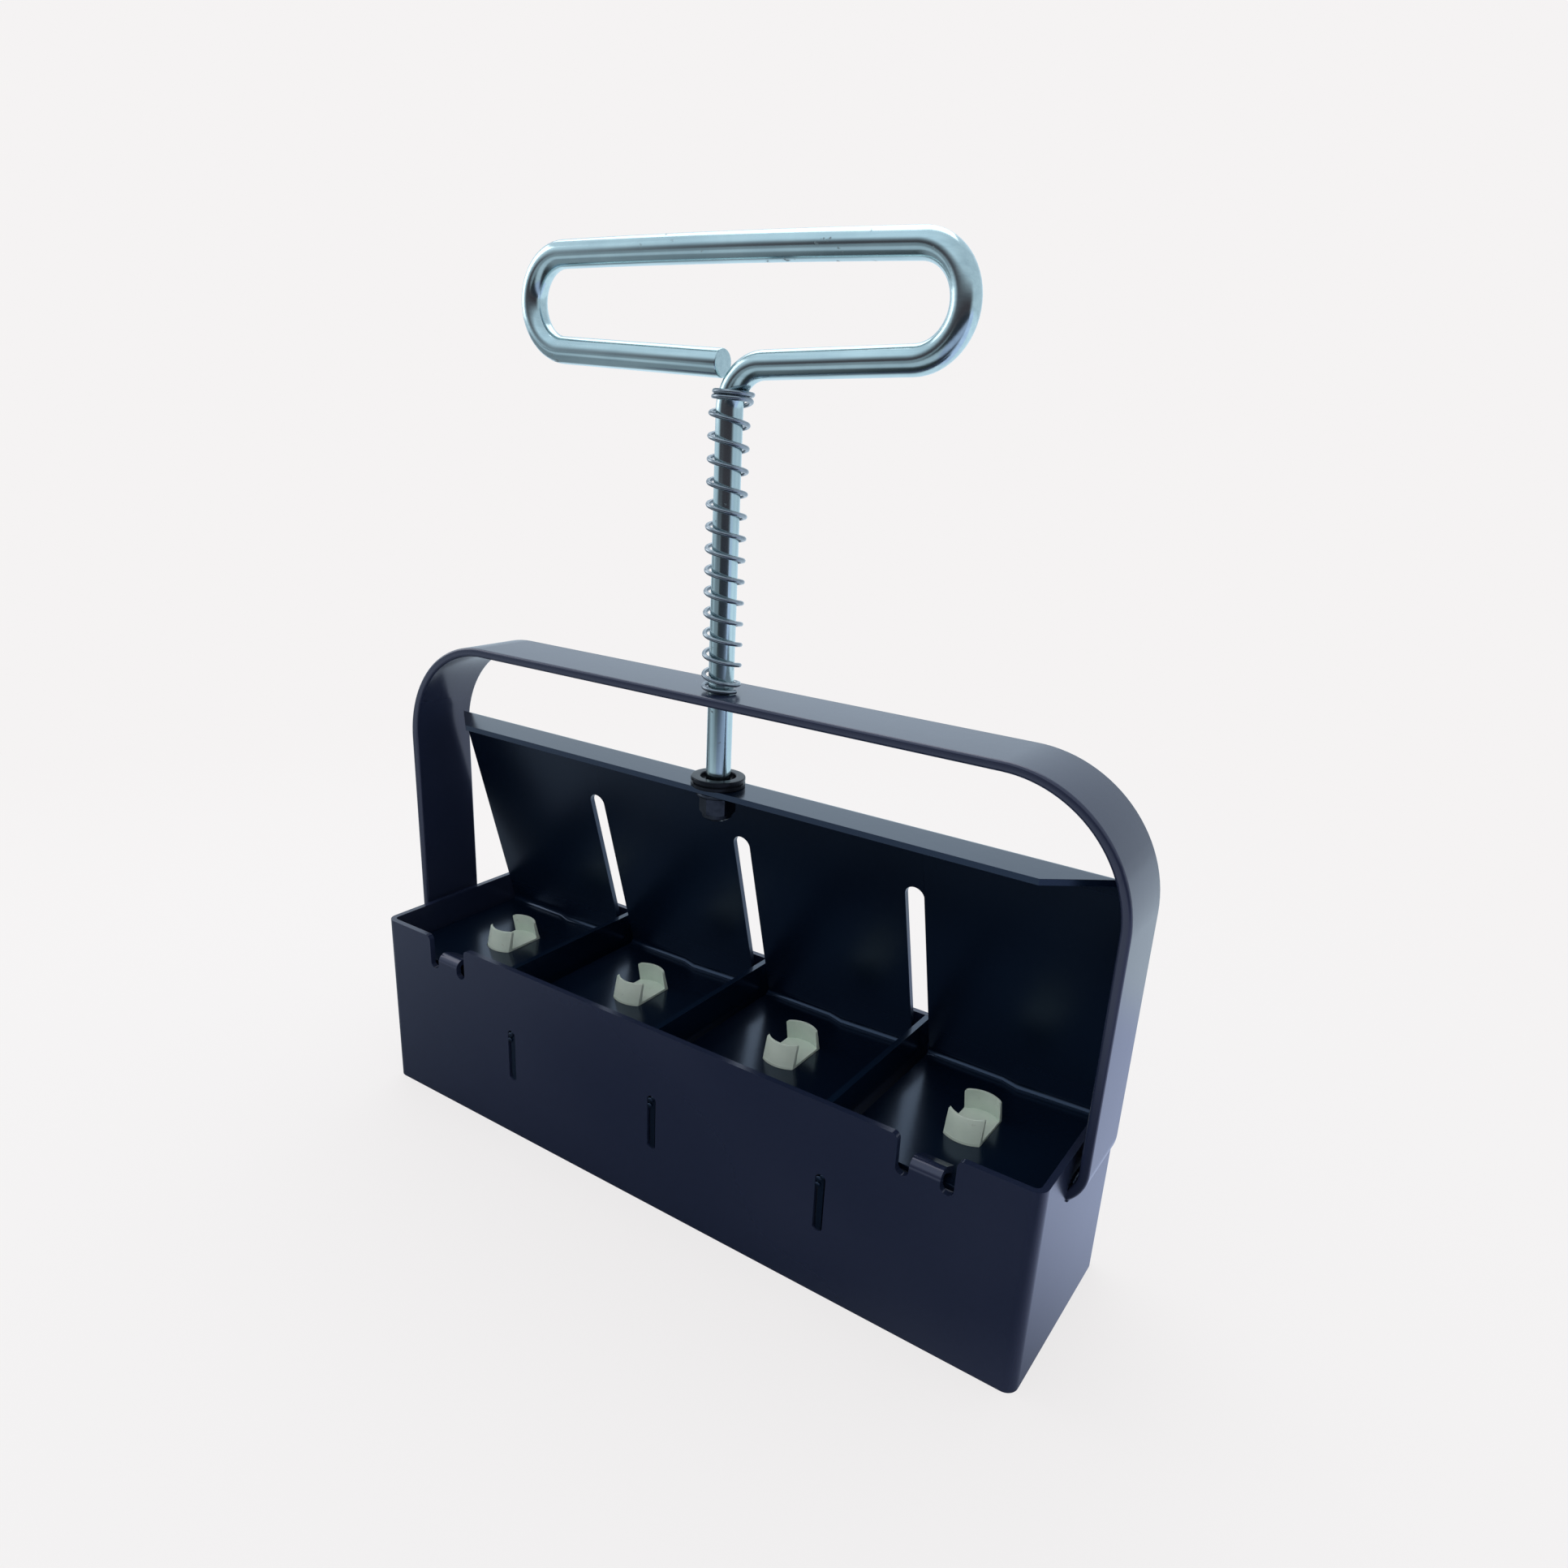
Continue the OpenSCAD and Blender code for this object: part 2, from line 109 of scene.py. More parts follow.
def thicken(bm, thickness, firstFaces):
    # turns the sheet so that its first face looks along firstFaces, and grows it away from there
    bmesh.ops.recalc_face_normals(bm, faces=bm.faces)
    bm.faces.ensure_lookup_table()
    bm.normal_update()
    if bm.faces[0].normal.dot(firstFaces) <= 0:
        bmesh.ops.reverse_faces(bm, faces=bm.faces)
    bmesh.ops.solidify(bm, geom=bm.faces[:], thickness=thickness)


def makeObject(bm, name):
    # the mesh leaves the drawing board: millimetres become metres
    bmesh.ops.recalc_face_normals(bm, faces=bm.faces)
    bmesh.ops.scale(bm, vec=(mm, mm, mm), verts=bm.verts)
    mesh = bpy.data.meshes.new(name)
    bm.to_mesh(mesh)
    bm.free()
    thing = bpy.data.objects.new(name, mesh)
    bpy.context.scene.collection.objects.link(thing)
    return thing


def settle(thing):
    # takes the live modifiers into the mesh
    bpy.context.view_layer.update()
    graph = bpy.context.evaluated_depsgraph_get()
    made = bpy.data.meshes.new_from_object(thing.evaluated_get(graph))
    thing.modifiers.clear()
    thing.data = made


def combine(thing, tool, operation="DIFFERENCE"):
    step = thing.modifiers.new(operation.lower(), "BOOLEAN")
    step.object = tool
    step.operation = operation
    step.solver = "EXACT"
    settle(thing)
    bpy.data.objects.remove(tool)


def tidyMesh(thing):
    bm = bmesh.new()
    bm.from_mesh(thing.data)
    bmesh.ops.remove_doubles(bm, verts=bm.verts, dist=bench["afterCut"] * mm)
    bmesh.ops.dissolve_degenerate(bm, edges=bm.edges, dist=bench["shortEdge"] * mm)
    bm.to_mesh(thing.data)
    bm.free()


def roundEdges(thing, width, segments=3, angle=40):
    step = thing.modifiers.new("edges", "BEVEL")
    step.width = width * mm
    step.segments = segments
    step.limit_method = "ANGLE"
    step.angle_limit = math.radians(angle)
    step.use_clamp_overlap = True
    settle(thing)


def smooth(thing, angle=35, weighted=True):
    thing.data.shade_smooth()
    thing.data.set_sharp_from_angle(angle=math.radians(angle))
    if weighted:
        step = thing.modifiers.new("flat faces stay flat", "WEIGHTED_NORMAL")
        step.keep_sharp = True
        step.weight = bench["flatWeight"]


def place(thing, body, slot, material, *nodes):
    thing.data.materials.clear()
    thing.data.materials.append(material)
    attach(thing, body)
    if nodes:
        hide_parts(*nodes)


def block(name, low, high):
    bm = bmesh.new()
    made = bmesh.ops.create_cube(bm, size=1)["verts"]
    low, high = Vector(low), Vector(high)
    bmesh.ops.scale(bm, vec=high - low, verts=made)
    bmesh.ops.translate(bm, vec=(low + high) / 2, verts=made)
    return makeObject(bm, name)


def stadium(name, width, low, high, near, far, x):
    # a round-ended slot cutter, upright in x and z, that runs along y
    bm = bmesh.new()
    made = bmesh.ops.create_circle(bm, cap_ends=True, radius=width / 2,
                                   segments=bench["slotSides"])["verts"]
    bmesh.ops.rotate(bm, cent=(0, 0, 0), matrix=standUp, verts=made)
    bmesh.ops.translate(bm, vec=(0, 0, high - width / 2), verts=made)
    lower = [v for v in made if v.co.z < high - width / 2 - bench["near"]]
    bmesh.ops.translate(bm, vec=(0, 0, low - high + width), verts=lower)
    grown = bmesh.ops.extrude_face_region(bm, geom=bm.faces[:])["geom"]
    grownVerts = [g for g in grown if isinstance(g, bmesh.types.BMVert)]
    bmesh.ops.translate(bm, vec=(0, far - near, 0), verts=grownVerts)
    bmesh.ops.translate(bm, vec=(x, near, 0), verts=bm.verts)
    return makeObject(bm, name)


def cylinder(bm, radius, height, sides, centre=(0, 0, 0)):
    return bmesh.ops.create_cone(bm, cap_ends=True, segments=sides, radius1=radius, radius2=radius,
                                 depth=height, matrix=Matrix.Translation(centre))["verts"]


def flatSidedPlug(name, radius, half, height, sides, centre):
    # an upright cylinder with two flats, half away from its middle along x
    bm = bmesh.new()
    for v in cylinder(bm, radius, height, sides):
        v.co.x = max(-half, min(half, v.co.x))
    bmesh.ops.remove_doubles(bm, verts=bm.verts, dist=bench["merge"])
    bmesh.ops.translate(bm, vec=centre, verts=bm.verts)
    return makeObject(bm, name)


def spinProfile(bm, points, centre, cuts):
    # turns a profile of (radius, height) points round a vertical axis
    verts = [bm.verts.new((centre[0] + r, centre[1], z)) for r, z in points]
    edges = [bm.edges.new(pair) for pair in zip(verts, verts[1:] + verts[:1])]
    bmesh.ops.spin(bm, geom=verts + edges, cent=(*centre, 0), axis=up, angle=2 * math.pi, steps=cuts,
                   use_merge=True)
    bmesh.ops.remove_doubles(bm, verts=bm.verts, dist=bench["merge"])


def turned(name, points, centre, cuts):
    bm = bmesh.new()
    spinProfile(bm, points, centre, cuts)
    return makeObject(bm, name)


# shader helpers

class Wire:
    # a socket that takes part in sums
    def __init__(self, shader, socket):
        self.shader = shader
        self.socket = socket

    def sum(self, operation, a, b):
        return self.shader.node("ShaderNodeMath", {0: a, 1: b}, operation=operation)

    def __add__(self, other):
        return self.sum("ADD", self, other)

    def __sub__(self, other):
        return self.sum("SUBTRACT", self, other)

    def __rsub__(self, other):
        return self.sum("SUBTRACT", other, self)

    def __mul__(self, other):
        return self.sum("MULTIPLY", self, other)

    __radd__, __rmul__ = __add__, __mul__

    def bigger(self, other):
        return self.sum("MAXIMUM", self, other)

    def between(self, low, high):
        # 0 at low, 1 at high, smooth on the way
        return self.shader.node("ShaderNodeMapRange",
                                {"Value": self, "From Min": low, "From Max": high},
                                interpolation_type="SMOOTHSTEP")


class Shader:
    def __init__(self, name):
        self.material = bpy.data.materials.new(name)
        self.material.use_nodes = True
        self.tree = self.material.node_tree
        self.tree.nodes.clear()
        self.here = self.node("ShaderNodeTexCoord", {}, out="Object")

    @classmethod
    def forTree(cls, tree, coordinates):
        # the same helpers on a node tree that no material owns
        shader = cls.__new__(cls)
        shader.tree = tree
        tree.nodes.clear()
        shader.here = shader.node("ShaderNodeTexCoord", {}, out=coordinates)
        return shader

    def node(self, kind, sockets, out=0, **settings):
        made = self.tree.nodes.new(kind)
        for name, value in settings.items():
            setattr(made, name, value)
        for name, value in sockets.items():
            socket = made.inputs[name]
            if isinstance(value, Wire):
                self.tree.links.new(value.socket, socket)
            elif isinstance(value, tuple) and len(value) == 3 and len(socket.default_value) == 4:
                socket.default_value = (*value, 1)
            else:
                socket.default_value = value
        return Wire(self, made.outputs[out])

    def rays(self):
        # two shares: what the camera sees, straight or through glass, and what mirrors show
        path = self.tree.nodes.new("ShaderNodeLightPath")
        seen, through, mirrored = (Wire(self, path.outputs["Is " + kind + " Ray"])
                                   for kind in ("Camera", "Transmission", "Glossy"))
        return seen.bigger(through), mirrored

    def mixed(self, share, first, second):
        return self.node("ShaderNodeMixShader", {0: share, 1: first, 2: second})

    def noise(self, scale, seed, detail, rough=0.6, stretch=None):
        vector = self.here
        if stretch:
            vector = self.node("ShaderNodeVectorMath", {0: vector, 1: stretch}, operation="MULTIPLY")
        return self.node("ShaderNodeTexNoise",
                         {"Vector": vector, "Scale": scale, "Detail": detail, "Roughness": rough,
                          "W": seed}, noise_dimensions="4D")

    def axes(self):
        made = self.tree.nodes.new("ShaderNodeSeparateXYZ")
        self.tree.links.new(self.here.socket, made.inputs[0])
        return [Wire(self, s) for s in made.outputs]

    def blend(self, share, first, second):
        # colours: first where share is 0, second where it is 1
        made = self.tree.nodes.new("ShaderNodeMix")
        made.data_type = "RGBA"
        made.clamp_factor = False
        for socket, value in ((made.inputs[0], share), (made.inputs[6], first), (made.inputs[7], second)):
            if isinstance(value, Wire):
                self.tree.links.new(value.socket, socket)
            else:
                socket.default_value = (*value, 1) if isinstance(value, tuple) else value
        return Wire(self, made.outputs[2])

    def bump(self, height, depth):
        return self.node("ShaderNodeBump", {"Height": height, "Distance": depth, "Strength": 1.0})

    def finish(self, sockets):
        self.toOutput(self.node("ShaderNodeBsdfPrincipled", sockets))
        return self.material

    def toOutput(self, surface, kind="ShaderNodeOutputMaterial"):
        made = self.tree.nodes.new(kind)
        self.tree.links.new(surface.socket, made.inputs["Surface"])


# finishes; a pair is the range in which something fades in, relief is in millimetres

black = (0.0, 0.0, 0.0)

paintLook = {
    "deep": (0.0115, 0.0175, 0.0420), "thin": (0.0165, 0.0230, 0.0500), "dust": (0.060, 0.070, 0.085),
    "dustShare": 0.08, "ior": 1.62, "tint": (0.92, 0.87, 1.0),
    "rough": 0.17, "cloudRough": 0.07, "dustRough": 0.10, "dullRough": 0.09,
    "cloudScale": 14, "peelScale": 520, "sagScale": 60, "dustScale": 2600, "sagStretch": (1, 1, 0.5),
    "cloud": (0.3, 0.7), "specks": (0.62, 0.74), "dusty": (0.35, 0.75),
    "peel": 0.6, "sag": 2.2, "relief": 0.018, "dullRise": 8, "dullFall": 4,
}
# the same black enamel with much darker base colours: painted shade, for the parts that sit in shade inside
# the mould and for the welds
shadedPaintLook = dict(paintLook, deep=(0.0006, 0.0030, 0.0100), thin=(0.0018, 0.0070, 0.0190),
                 dustShare=0.03, ior=1.70, tint=(0.50, 0.65, 0.95))


def glossPaint(name, seed, look=paintLook, dullFrom=None):
    # thick dark enamel: orange peel, a few sags and fine dust
    s = Shader(name)
    cloud = s.noise(look["cloudScale"], seed, detail=2, rough=0.55)
    peel = s.noise(look["peelScale"], seed + 1, detail=2, rough=0.4)
    sag = s.noise(look["sagScale"], seed + 2, detail=2, rough=0.5, stretch=look["sagStretch"])
    grain = s.noise(look["dustScale"], seed + 3, detail=2, rough=0.7)
    colour = s.blend(cloud.between(*look["cloud"]), look["deep"], look["thin"])
    specks = grain.between(*look["specks"]) * cloud.between(*look["dusty"])
    colour = s.blend(specks * look["dustShare"], colour, look["dust"])
    rough = look["rough"] + cloud * look["cloudRough"] + specks * look["dustRough"]
    if dullFrom:  # the upright sheet was sprayed thinner and mirrors less sharply
        low, high = dullFrom
        z = s.axes()[2]
        risen = z.between(low * mm, (low + look["dullRise"]) * mm)
        over = z.between((high - look["dullFall"]) * mm, high * mm)
        rough = rough + risen * (1 - over) * look["dullRough"]
    skin = s.bump(peel * look["peel"] + sag * look["sag"], look["relief"] * mm)
    return s.finish({"Base Color": colour, "Roughness": rough, "IOR": look["ior"],
                     "Specular Tint": look["tint"], "Normal": skin})


zincLook = {
    "bright": (0.56, 0.69, 0.70), "dull": (0.36, 0.47, 0.50), "stain": (0.075, 0.085, 0.10),
    "rough": 0.12, "cloudRough": 0.06, "stainRough": 0.25, "lineRough": 0.04, "stainMatt": 0.4,
    "neck": (197.0, 205.0),  # the drawn lines follow the bar, upright below and level above
    "lineScale": 900, "lineStretch": 0.03, "cloudScale": 55, "stainScale": 240, "pitScale": 1500,
    "cloud": (0.30, 0.75), "lines": (0.35, 0.70), "pits": (0.70, 0.78),
    "stains": (0.62, 0.68), "stained": (0.50, 0.60),
    "cloudShare": 0.5, "lineShare": 0.35, "stainShare": 0.75,
    "lineRelief": 0.8, "cloudRelief": 0.5, "pitRelief": 0.5, "relief": 0.004,
}


def dulled(look, cloud, lines):
    # how much darker clouds and drawn lines make the metal
    return (cloud.between(*look["cloud"]) * look["cloudShare"]
            + lines.between(*look["lines"]) * look["lineShare"])


def zincPlate(name, seed, look=zincLook):
    # bright zinc over drawn rod: lines along the bar, cloudy plating, dark tide marks
    s = Shader(name)
    x, y, z = s.axes()
    low, high = look["neck"]
    grip = z.between(low * mm, high * mm)
    scale, along = look["lineScale"], look["lineStretch"]
    upright = s.noise(scale, seed, detail=3, stretch=(1, 1, along))
    level = s.noise(scale, seed + 1, detail=3, stretch=(along, 1, 1))
    lines = upright * (1 - grip) + level * grip
    cloud = s.noise(look["cloudScale"], seed + 2, detail=4)
    bloom = s.noise(look["stainScale"], seed + 3, detail=4, rough=0.65)
    tide = bloom.between(*look["stains"]) * cloud.between(*look["stained"])
    pits = s.noise(look["pitScale"], seed + 4, detail=2).between(*look["pits"])
    colour = s.blend(dulled(look, cloud, lines), look["bright"], look["dull"])
    colour = s.blend(tide * look["stainShare"], colour, look["stain"])
    rough = (look["rough"] + cloud * look["cloudRough"] + tide * look["stainRough"]
             + lines * look["lineRough"])
    height = lines * look["lineRelief"] + cloud * look["cloudRelief"] - pits * look["pitRelief"]
    return s.finish({"Base Color": colour, "Metallic": 1.0 - tide * look["stainMatt"], "Roughness": rough,
                     "Normal": s.bump(height, look["relief"] * mm)})


springLook = {
    "base": (0.34, 0.38, 0.41), "dark": (0.13, 0.15, 0.18), "rough": 0.20,
    "cloudScale": 120, "lineScale": 700, "cloud": (0.3, 0.7), "lines": (0.45, 0.7), "oil": (0.55, 0.75),
    "cloudShare": 0.6, "lineShare": 0.3, "oilRough": 0.14, "lineRough": 0.06, "relief": 0.008,
}
nutLook = dict(springLook, base=(0.085, 0.095, 0.12), dark=(0.035, 0.04, 0.055), rough=0.34)
studLook = dict(springLook, base=(0.45, 0.48, 0.50), dark=(0.25, 0.27, 0.30), rough=0.3)


def drawnSteel(name, seed, look):
    s = Shader(name)
    cloud = s.noise(look["cloudScale"], seed, detail=4)
    lines = s.noise(look["lineScale"], seed + 1, detail=3)
    colour = s.blend(dulled(look, cloud, lines), look["base"], look["dark"])
    rough = look["rough"] + cloud.between(*look["oil"]) * look["oilRough"] + lines * look["lineRough"]
    return s.finish({"Base Color": colour, "Metallic": 1.0, "Roughness": rough,
                     "Normal": s.bump(lines, look["relief"] * mm)})


plasticLook = {
    "base": (0.70, 0.79, 0.71), "deep": (0.59, 0.69, 0.61), "soil": (0.16, 0.15, 0.11),
    "rough": 0.42, "swirlRough": 0.10, "soilRough": 0.15, "soilShare": 0.35,
    "swirlScale": 90, "grainScale": 1800, "soilScale": 420, "swirl": (0.3, 0.7), "soiled": (0.60, 0.74),
    "scatter": 0.12, "scatterDepth": 1.5, "scatterReach": (1.0, 0.9, 0.7),
    "grainRelief": 0.5, "soilRelief": 0.8, "relief": 0.02,
}


def mouldedPlastic(name, seed, look=plasticLook):
    # cream plastic: swirls from the mould, faint soil in the grain
    s = Shader(name)
    swirl = s.noise(look["swirlScale"], seed, detail=4)
    grain = s.noise(look["grainScale"], seed + 1, detail=2)
    soil = s.noise(look["soilScale"], seed + 2, detail=4, rough=0.7).between(*look["soiled"])
    colour = s.blend(swirl.between(*look["swirl"]), look["base"], look["deep"])
    colour = s.blend(soil * look["soilShare"], colour, look["soil"])
    rough = look["rough"] + swirl * look["swirlRough"] + soil * look["soilRough"]
    height = grain * look["grainRelief"] + soil * look["soilRelief"]
    return s.finish({"Base Color": colour, "Roughness": rough, "Subsurface Weight": look["scatter"],
                     "Subsurface Scale": look["scatterDepth"] * mm,
                     "Subsurface Radius": look["scatterReach"],
                     "Normal": s.bump(height, look["relief"] * mm)})


collarLook = {
    "base": (0.006, 0.007, 0.010), "smeared": 2.2, "smearShare": 0.6, "smear": (0.35, 0.7),
    "rough": 0.18, "smearRough": 0.12, "ior": 1.33, "tint": (0.35, 0.42, 0.55),
    "smearScale": 160, "grainScale": 1400, "relief": 0.006,
}


def glossPlastic(name, seed, look=collarLook):
    s = Shader(name)
    smear = s.noise(look["smearScale"], seed, detail=3)
    grain = s.noise(look["grainScale"], seed + 1, detail=2)
    lighter = tuple(look["smeared"] * c for c in look["base"])
    colour = s.blend(smear.between(*look["smear"]) * look["smearShare"], look["base"], lighter)
    return s.finish({"Base Color": colour, "Roughness": look["rough"] + smear * look["smearRough"],
                     "IOR": look["ior"], "Specular Tint": look["tint"],
                     "Normal": s.bump(grain, look["relief"] * mm)})


mouldPaint = glossPaint("mould enamel", seed=3.1)
# the divider, plunger and weld enamels take the darker palette: painted shade on the same black paint as
# the mould
wallPaint = glossPaint("divider enamel", seed=9.7, look=shadedPaintLook)
strapPaint = glossPaint("strap enamel", seed=15.3)
platePaint = glossPaint("plunger enamel", seed=22.9, look=shadedPaintLook, dullFrom=(47, 111))
weldPaint = glossPaint("weld enamel", seed=31.5, look=shadedPaintLook)
gripZinc = zincPlate("bright zinc rod", seed=5.5)
springSteel = drawnSteel("spring wire", seed=41.0, look=springLook)
nutSteel = drawnSteel("dark hardware", seed=47.0, look=nutLook)
studZinc = drawnSteel("stud steel", seed=53.0, look=studLook)
collarBlack = glossPlastic("collar black", seed=61.0)
pinCream = mouldedPlastic("pin cream", seed=71.0)
print("finishes made")


# mould

mould = {
    "length": 208.0, "width": 52.8, "height": 53.5, "sheet": 1.6, "corner": 3.0, "cornerCuts": 8,
    "cellPitch": 51.6, "cellCount": 4,
    "slotWide": 2.8, "slotLow": 18.1, "slotHigh": 34.3, "slotReach": 2.5,
    "notchWide": 14.4, "notchDeep": 9.8, "notchRound": 1.6, "notchCuts": 5,
    "mouthNear": 0.05,  # how far a notch's mouth may lie from its nominal width
    "toolOver": 6, "toolOut": 2, "toolIn": 3.4,  # how far the notch tools pass the rim and the wall
    "tabWide": 7.6, "tabTop": 46.1, "tabGap": 0.5, "tabUpright": 1.5, "tabBend": 0.8, "tabFold": 116.7,
    "tabCuts": 10, "tabLength": 4.0,
    "edge": 0.42,
}
cellXs = [(i - (mould["cellCount"] - 1) / 2) * mould["cellPitch"] for i in range(mould["cellCount"])]
dividerXs = [(i - (mould["cellCount"] - 2) / 2) * mould["cellPitch"] for i in range(mould["cellCount"] - 1)]
notchXs = (cellXs[0], cellXs[-1])


def sheetWall():
    # an open box of folded sheet: rounded corners first, then the sheet's thickness inwards
    bm = bmesh.new()
    made = bmesh.ops.create_cube(bm, size=1)["verts"]
    bmesh.ops.scale(bm, vec=(mould["length"], mould["width"], mould["height"]), verts=made)
    bmesh.ops.translate(bm, vec=(0, 0, mould["height"] / 2), verts=made)
    ends = [f for f in bm.faces if abs(f.normal.z) > bench["steep"]]
    bmesh.ops.delete(bm, geom=ends, context="FACES_ONLY")
    corners = [e for e in bm.edges
               if abs((e.verts[0].co - e.verts[1].co).normalized().z) > bench["steep"]]
    bevel(bm, corners, mould["corner"], mould["cornerCuts"])
    bmesh.ops.solidify(bm, geom=bm.faces[:], thickness=mould["sheet"])
    return makeObject(bm, "mouldWrap")


def stopTab(x):
    # the tab left in a notch, folded in and down onto the ejector plate
    bm = bmesh.new()
    inside = -mould["width"] / 2 + mould["sheet"]
    low = mould["tabTop"] - mould["tabUpright"]
    verts = [bm.verts.new((x + side * mould["tabWide"] / 2, inside, low)) for side in (-1, 1)]
    section = verts + [bm.edges.new(verts)]
    sweep(bm, section, (x, inside, low), up, -right,
          [("go", mould["tabUpright"], 1), ("turn", mould["tabBend"], mould["tabFold"], mould["tabCuts"]),
           ("go", mould["tabLength"], 1)])
    thicken(bm, mould["sheet"], back)
    return makeObject(bm, "stopTab")


def roundNotchMouths(wrap):
    # the notches' upper corners are rounded where the rim turns down into them
    bm = bmesh.new()
    bm.from_mesh(wrap.data)
    near, top = bench["near"] * mm, mould["height"] * mm
    mouths = [x * mm + side * mould["notchWide"] / 2 * mm for x in notchXs for side in (-1, 1)]
    rim = [e for e in bm.edges
           if all(abs(v.co.z - top) < near and v.co.y < 0 for v in e.verts)
           and abs(e.verts[0].co.x - e.verts[1].co.x) < near
           and min(abs(e.verts[0].co.x - mouth) for mouth in mouths) < mould["mouthNear"] * mm]
    bevel(bm, rim, mould["notchRound"] * mm, mould["notchCuts"])
    bm.to_mesh(wrap.data)
    bm.free()


def makeMould():
    wrap = sheetWall()
    half, top = mould["width"] / 2, mould["height"]
    for x in dividerXs:
        for y in (-half, half):
            combine(wrap, stadium("slotTool", mould["slotWide"], mould["slotLow"], mould["slotHigh"],
                                  y - mould["slotReach"], y + mould["slotReach"], x))
    relief = (mould["notchWide"] - mould["tabWide"]) / 2
    near, far = -half - mould["toolOut"], -half + mould["toolIn"]
    gapHalf = mould["tabWide"] / 2 + mould["tabGap"]
    for x in notchXs:
        for side in (-1, 1):
            combine(wrap, stadium("reliefTool", relief, top - mould["notchDeep"], top + mould["toolOver"],
                                  near, far, x + side * (mould["notchWide"] - relief) / 2))
        combine(wrap, block("tabTool", (x - gapHalf, near, mould["tabTop"]),
                            (x + gapHalf, far, top + mould["toolOver"] / 2)))
        combine(wrap, stopTab(x), "UNION")
    tidyMesh(wrap)
    roundNotchMouths(wrap)
    roundEdges(wrap, mould["edge"])
    smooth(wrap)
    place(wrap, "mould", "black_paint", mouldPaint, "mould_wrap")


makeMould()
print("mould made")

divider = {
    "sheet": mould["sheet"], "width": 49.4, "height": mould["height"], "tabLow": 18.2, "tabHigh": 34.2,
    "tabOut": 25.9, "fill": 2.6, "fillOut": 25.0, "edge": 0.3,
}


def makeDivider(x, name, node):
    # a cross wall with a tab at each side that stands in the mould's slots
    half, depth = divider["sheet"] / 2, divider["width"] / 2
    sheet = block(name, (x - half, -depth, 0), (x + half, depth, divider["height"]))
    # paint and weld close the slot behind the tab, a little deeper than the tab's own end
    for wide, reach in ((divider["fill"] / 2, divider["fillOut"]), (half, divider["tabOut"])):
        combine(sheet, block("tabs", (x - wide, -reach, divider["tabLow"]),
                             (x + wide, reach, divider["tabHigh"])), "UNION")
    tidyMesh(sheet)
    roundEdges(sheet, divider["edge"])
    smooth(sheet)
    place(sheet, "mould", "black_paint", wallPaint, node)


for x, name, node in zip(dividerXs, ("dividerLeft", "dividerMiddle", "dividerRight"),
                         ("divider_left", "divider_middle", "divider_right")):
    makeDivider(x, name, node)

tack = {
    "drops": ((-0.55, 32.7, 0.95), (-0.9, 31.0, 0.85), (0.35, 33.6, 0.7)),  # across, height, radius
    "flat": 0.42, "squat": 0.85, "proud": 0.25,
}


def makeTack(x, side, name):
    # drops of weld that hold the divider's tab in the upper end of the slot
    drops = []
    face = mould["width"] / 2 - tack["proud"]
    for across, high, size in tack["drops"]:
        bm = bmesh.new()
        made = bmesh.ops.create_uvsphere(bm, u_segments=20, v_segments=12, radius=size)["verts"]
        bmesh.ops.scale(bm, vec=(1, tack["flat"], tack["squat"]), verts=made)
        bmesh.ops.translate(bm, vec=(x + across, side * face, high), verts=made)
        drops.append(makeObject(bm, name))
    for drop in drops[1:]:
        combine(drops[0], drop, "UNION")
    smooth(drops[0], angle=60, weighted=False)
    place(drops[0], "mould", "black_paint", weldPaint)


for i, x in enumerate(dividerXs):
    makeTack(x, -1, "tackFront%d" % (i + 1))
    makeTack(x, 1, "tackBack%d" % (i + 1))
print("dividers made")


# strap frame

strap = {
    "outer": 108.0, "top": 136.5, "wide": 20.0, "thick": 2.4, "shoulder": 31.0, "shoulderCuts": 28,
    "footZ": 50.0, "footRound": 10.5, "footTurn": 58, "footCuts": 14, "wall": 104.0, "wallGap": 0.02,
    "legCuts": 4, "spanCuts": 8, "edge": 0.7, "edgeCuts": 3,
    "holeRound": 3.25, "holeSides": 40, "holeTool": 8, "rodY": -2.0,
}


def barSection(bm, at, across):
    # the strap's rounded section, square to its path: wide along y, thick along across
    bar = bmesh.ops.create_grid(bm, x_segments=1, y_segments=1, size=0.5)["verts"]
    turn = Matrix((across, back, across.cross(back))).transposed()
    bmesh.ops.scale(bm, vec=(strap["thick"], strap["wide"], 1), verts=bar)
    bevel(bm, bar, strap["edge"], strap["edgeCuts"], affect="VERTICES")
    bmesh.ops.rotate(bm, cent=(0, 0, 0), matrix=turn, verts=bm.verts)
    bmesh.ops.translate(bm, vec=at, verts=bm.verts)
    bmesh.ops.delete(bm, geom=bm.faces[:], context="FACES_ONLY")
    return bm.verts[:] + bm.edges[:]


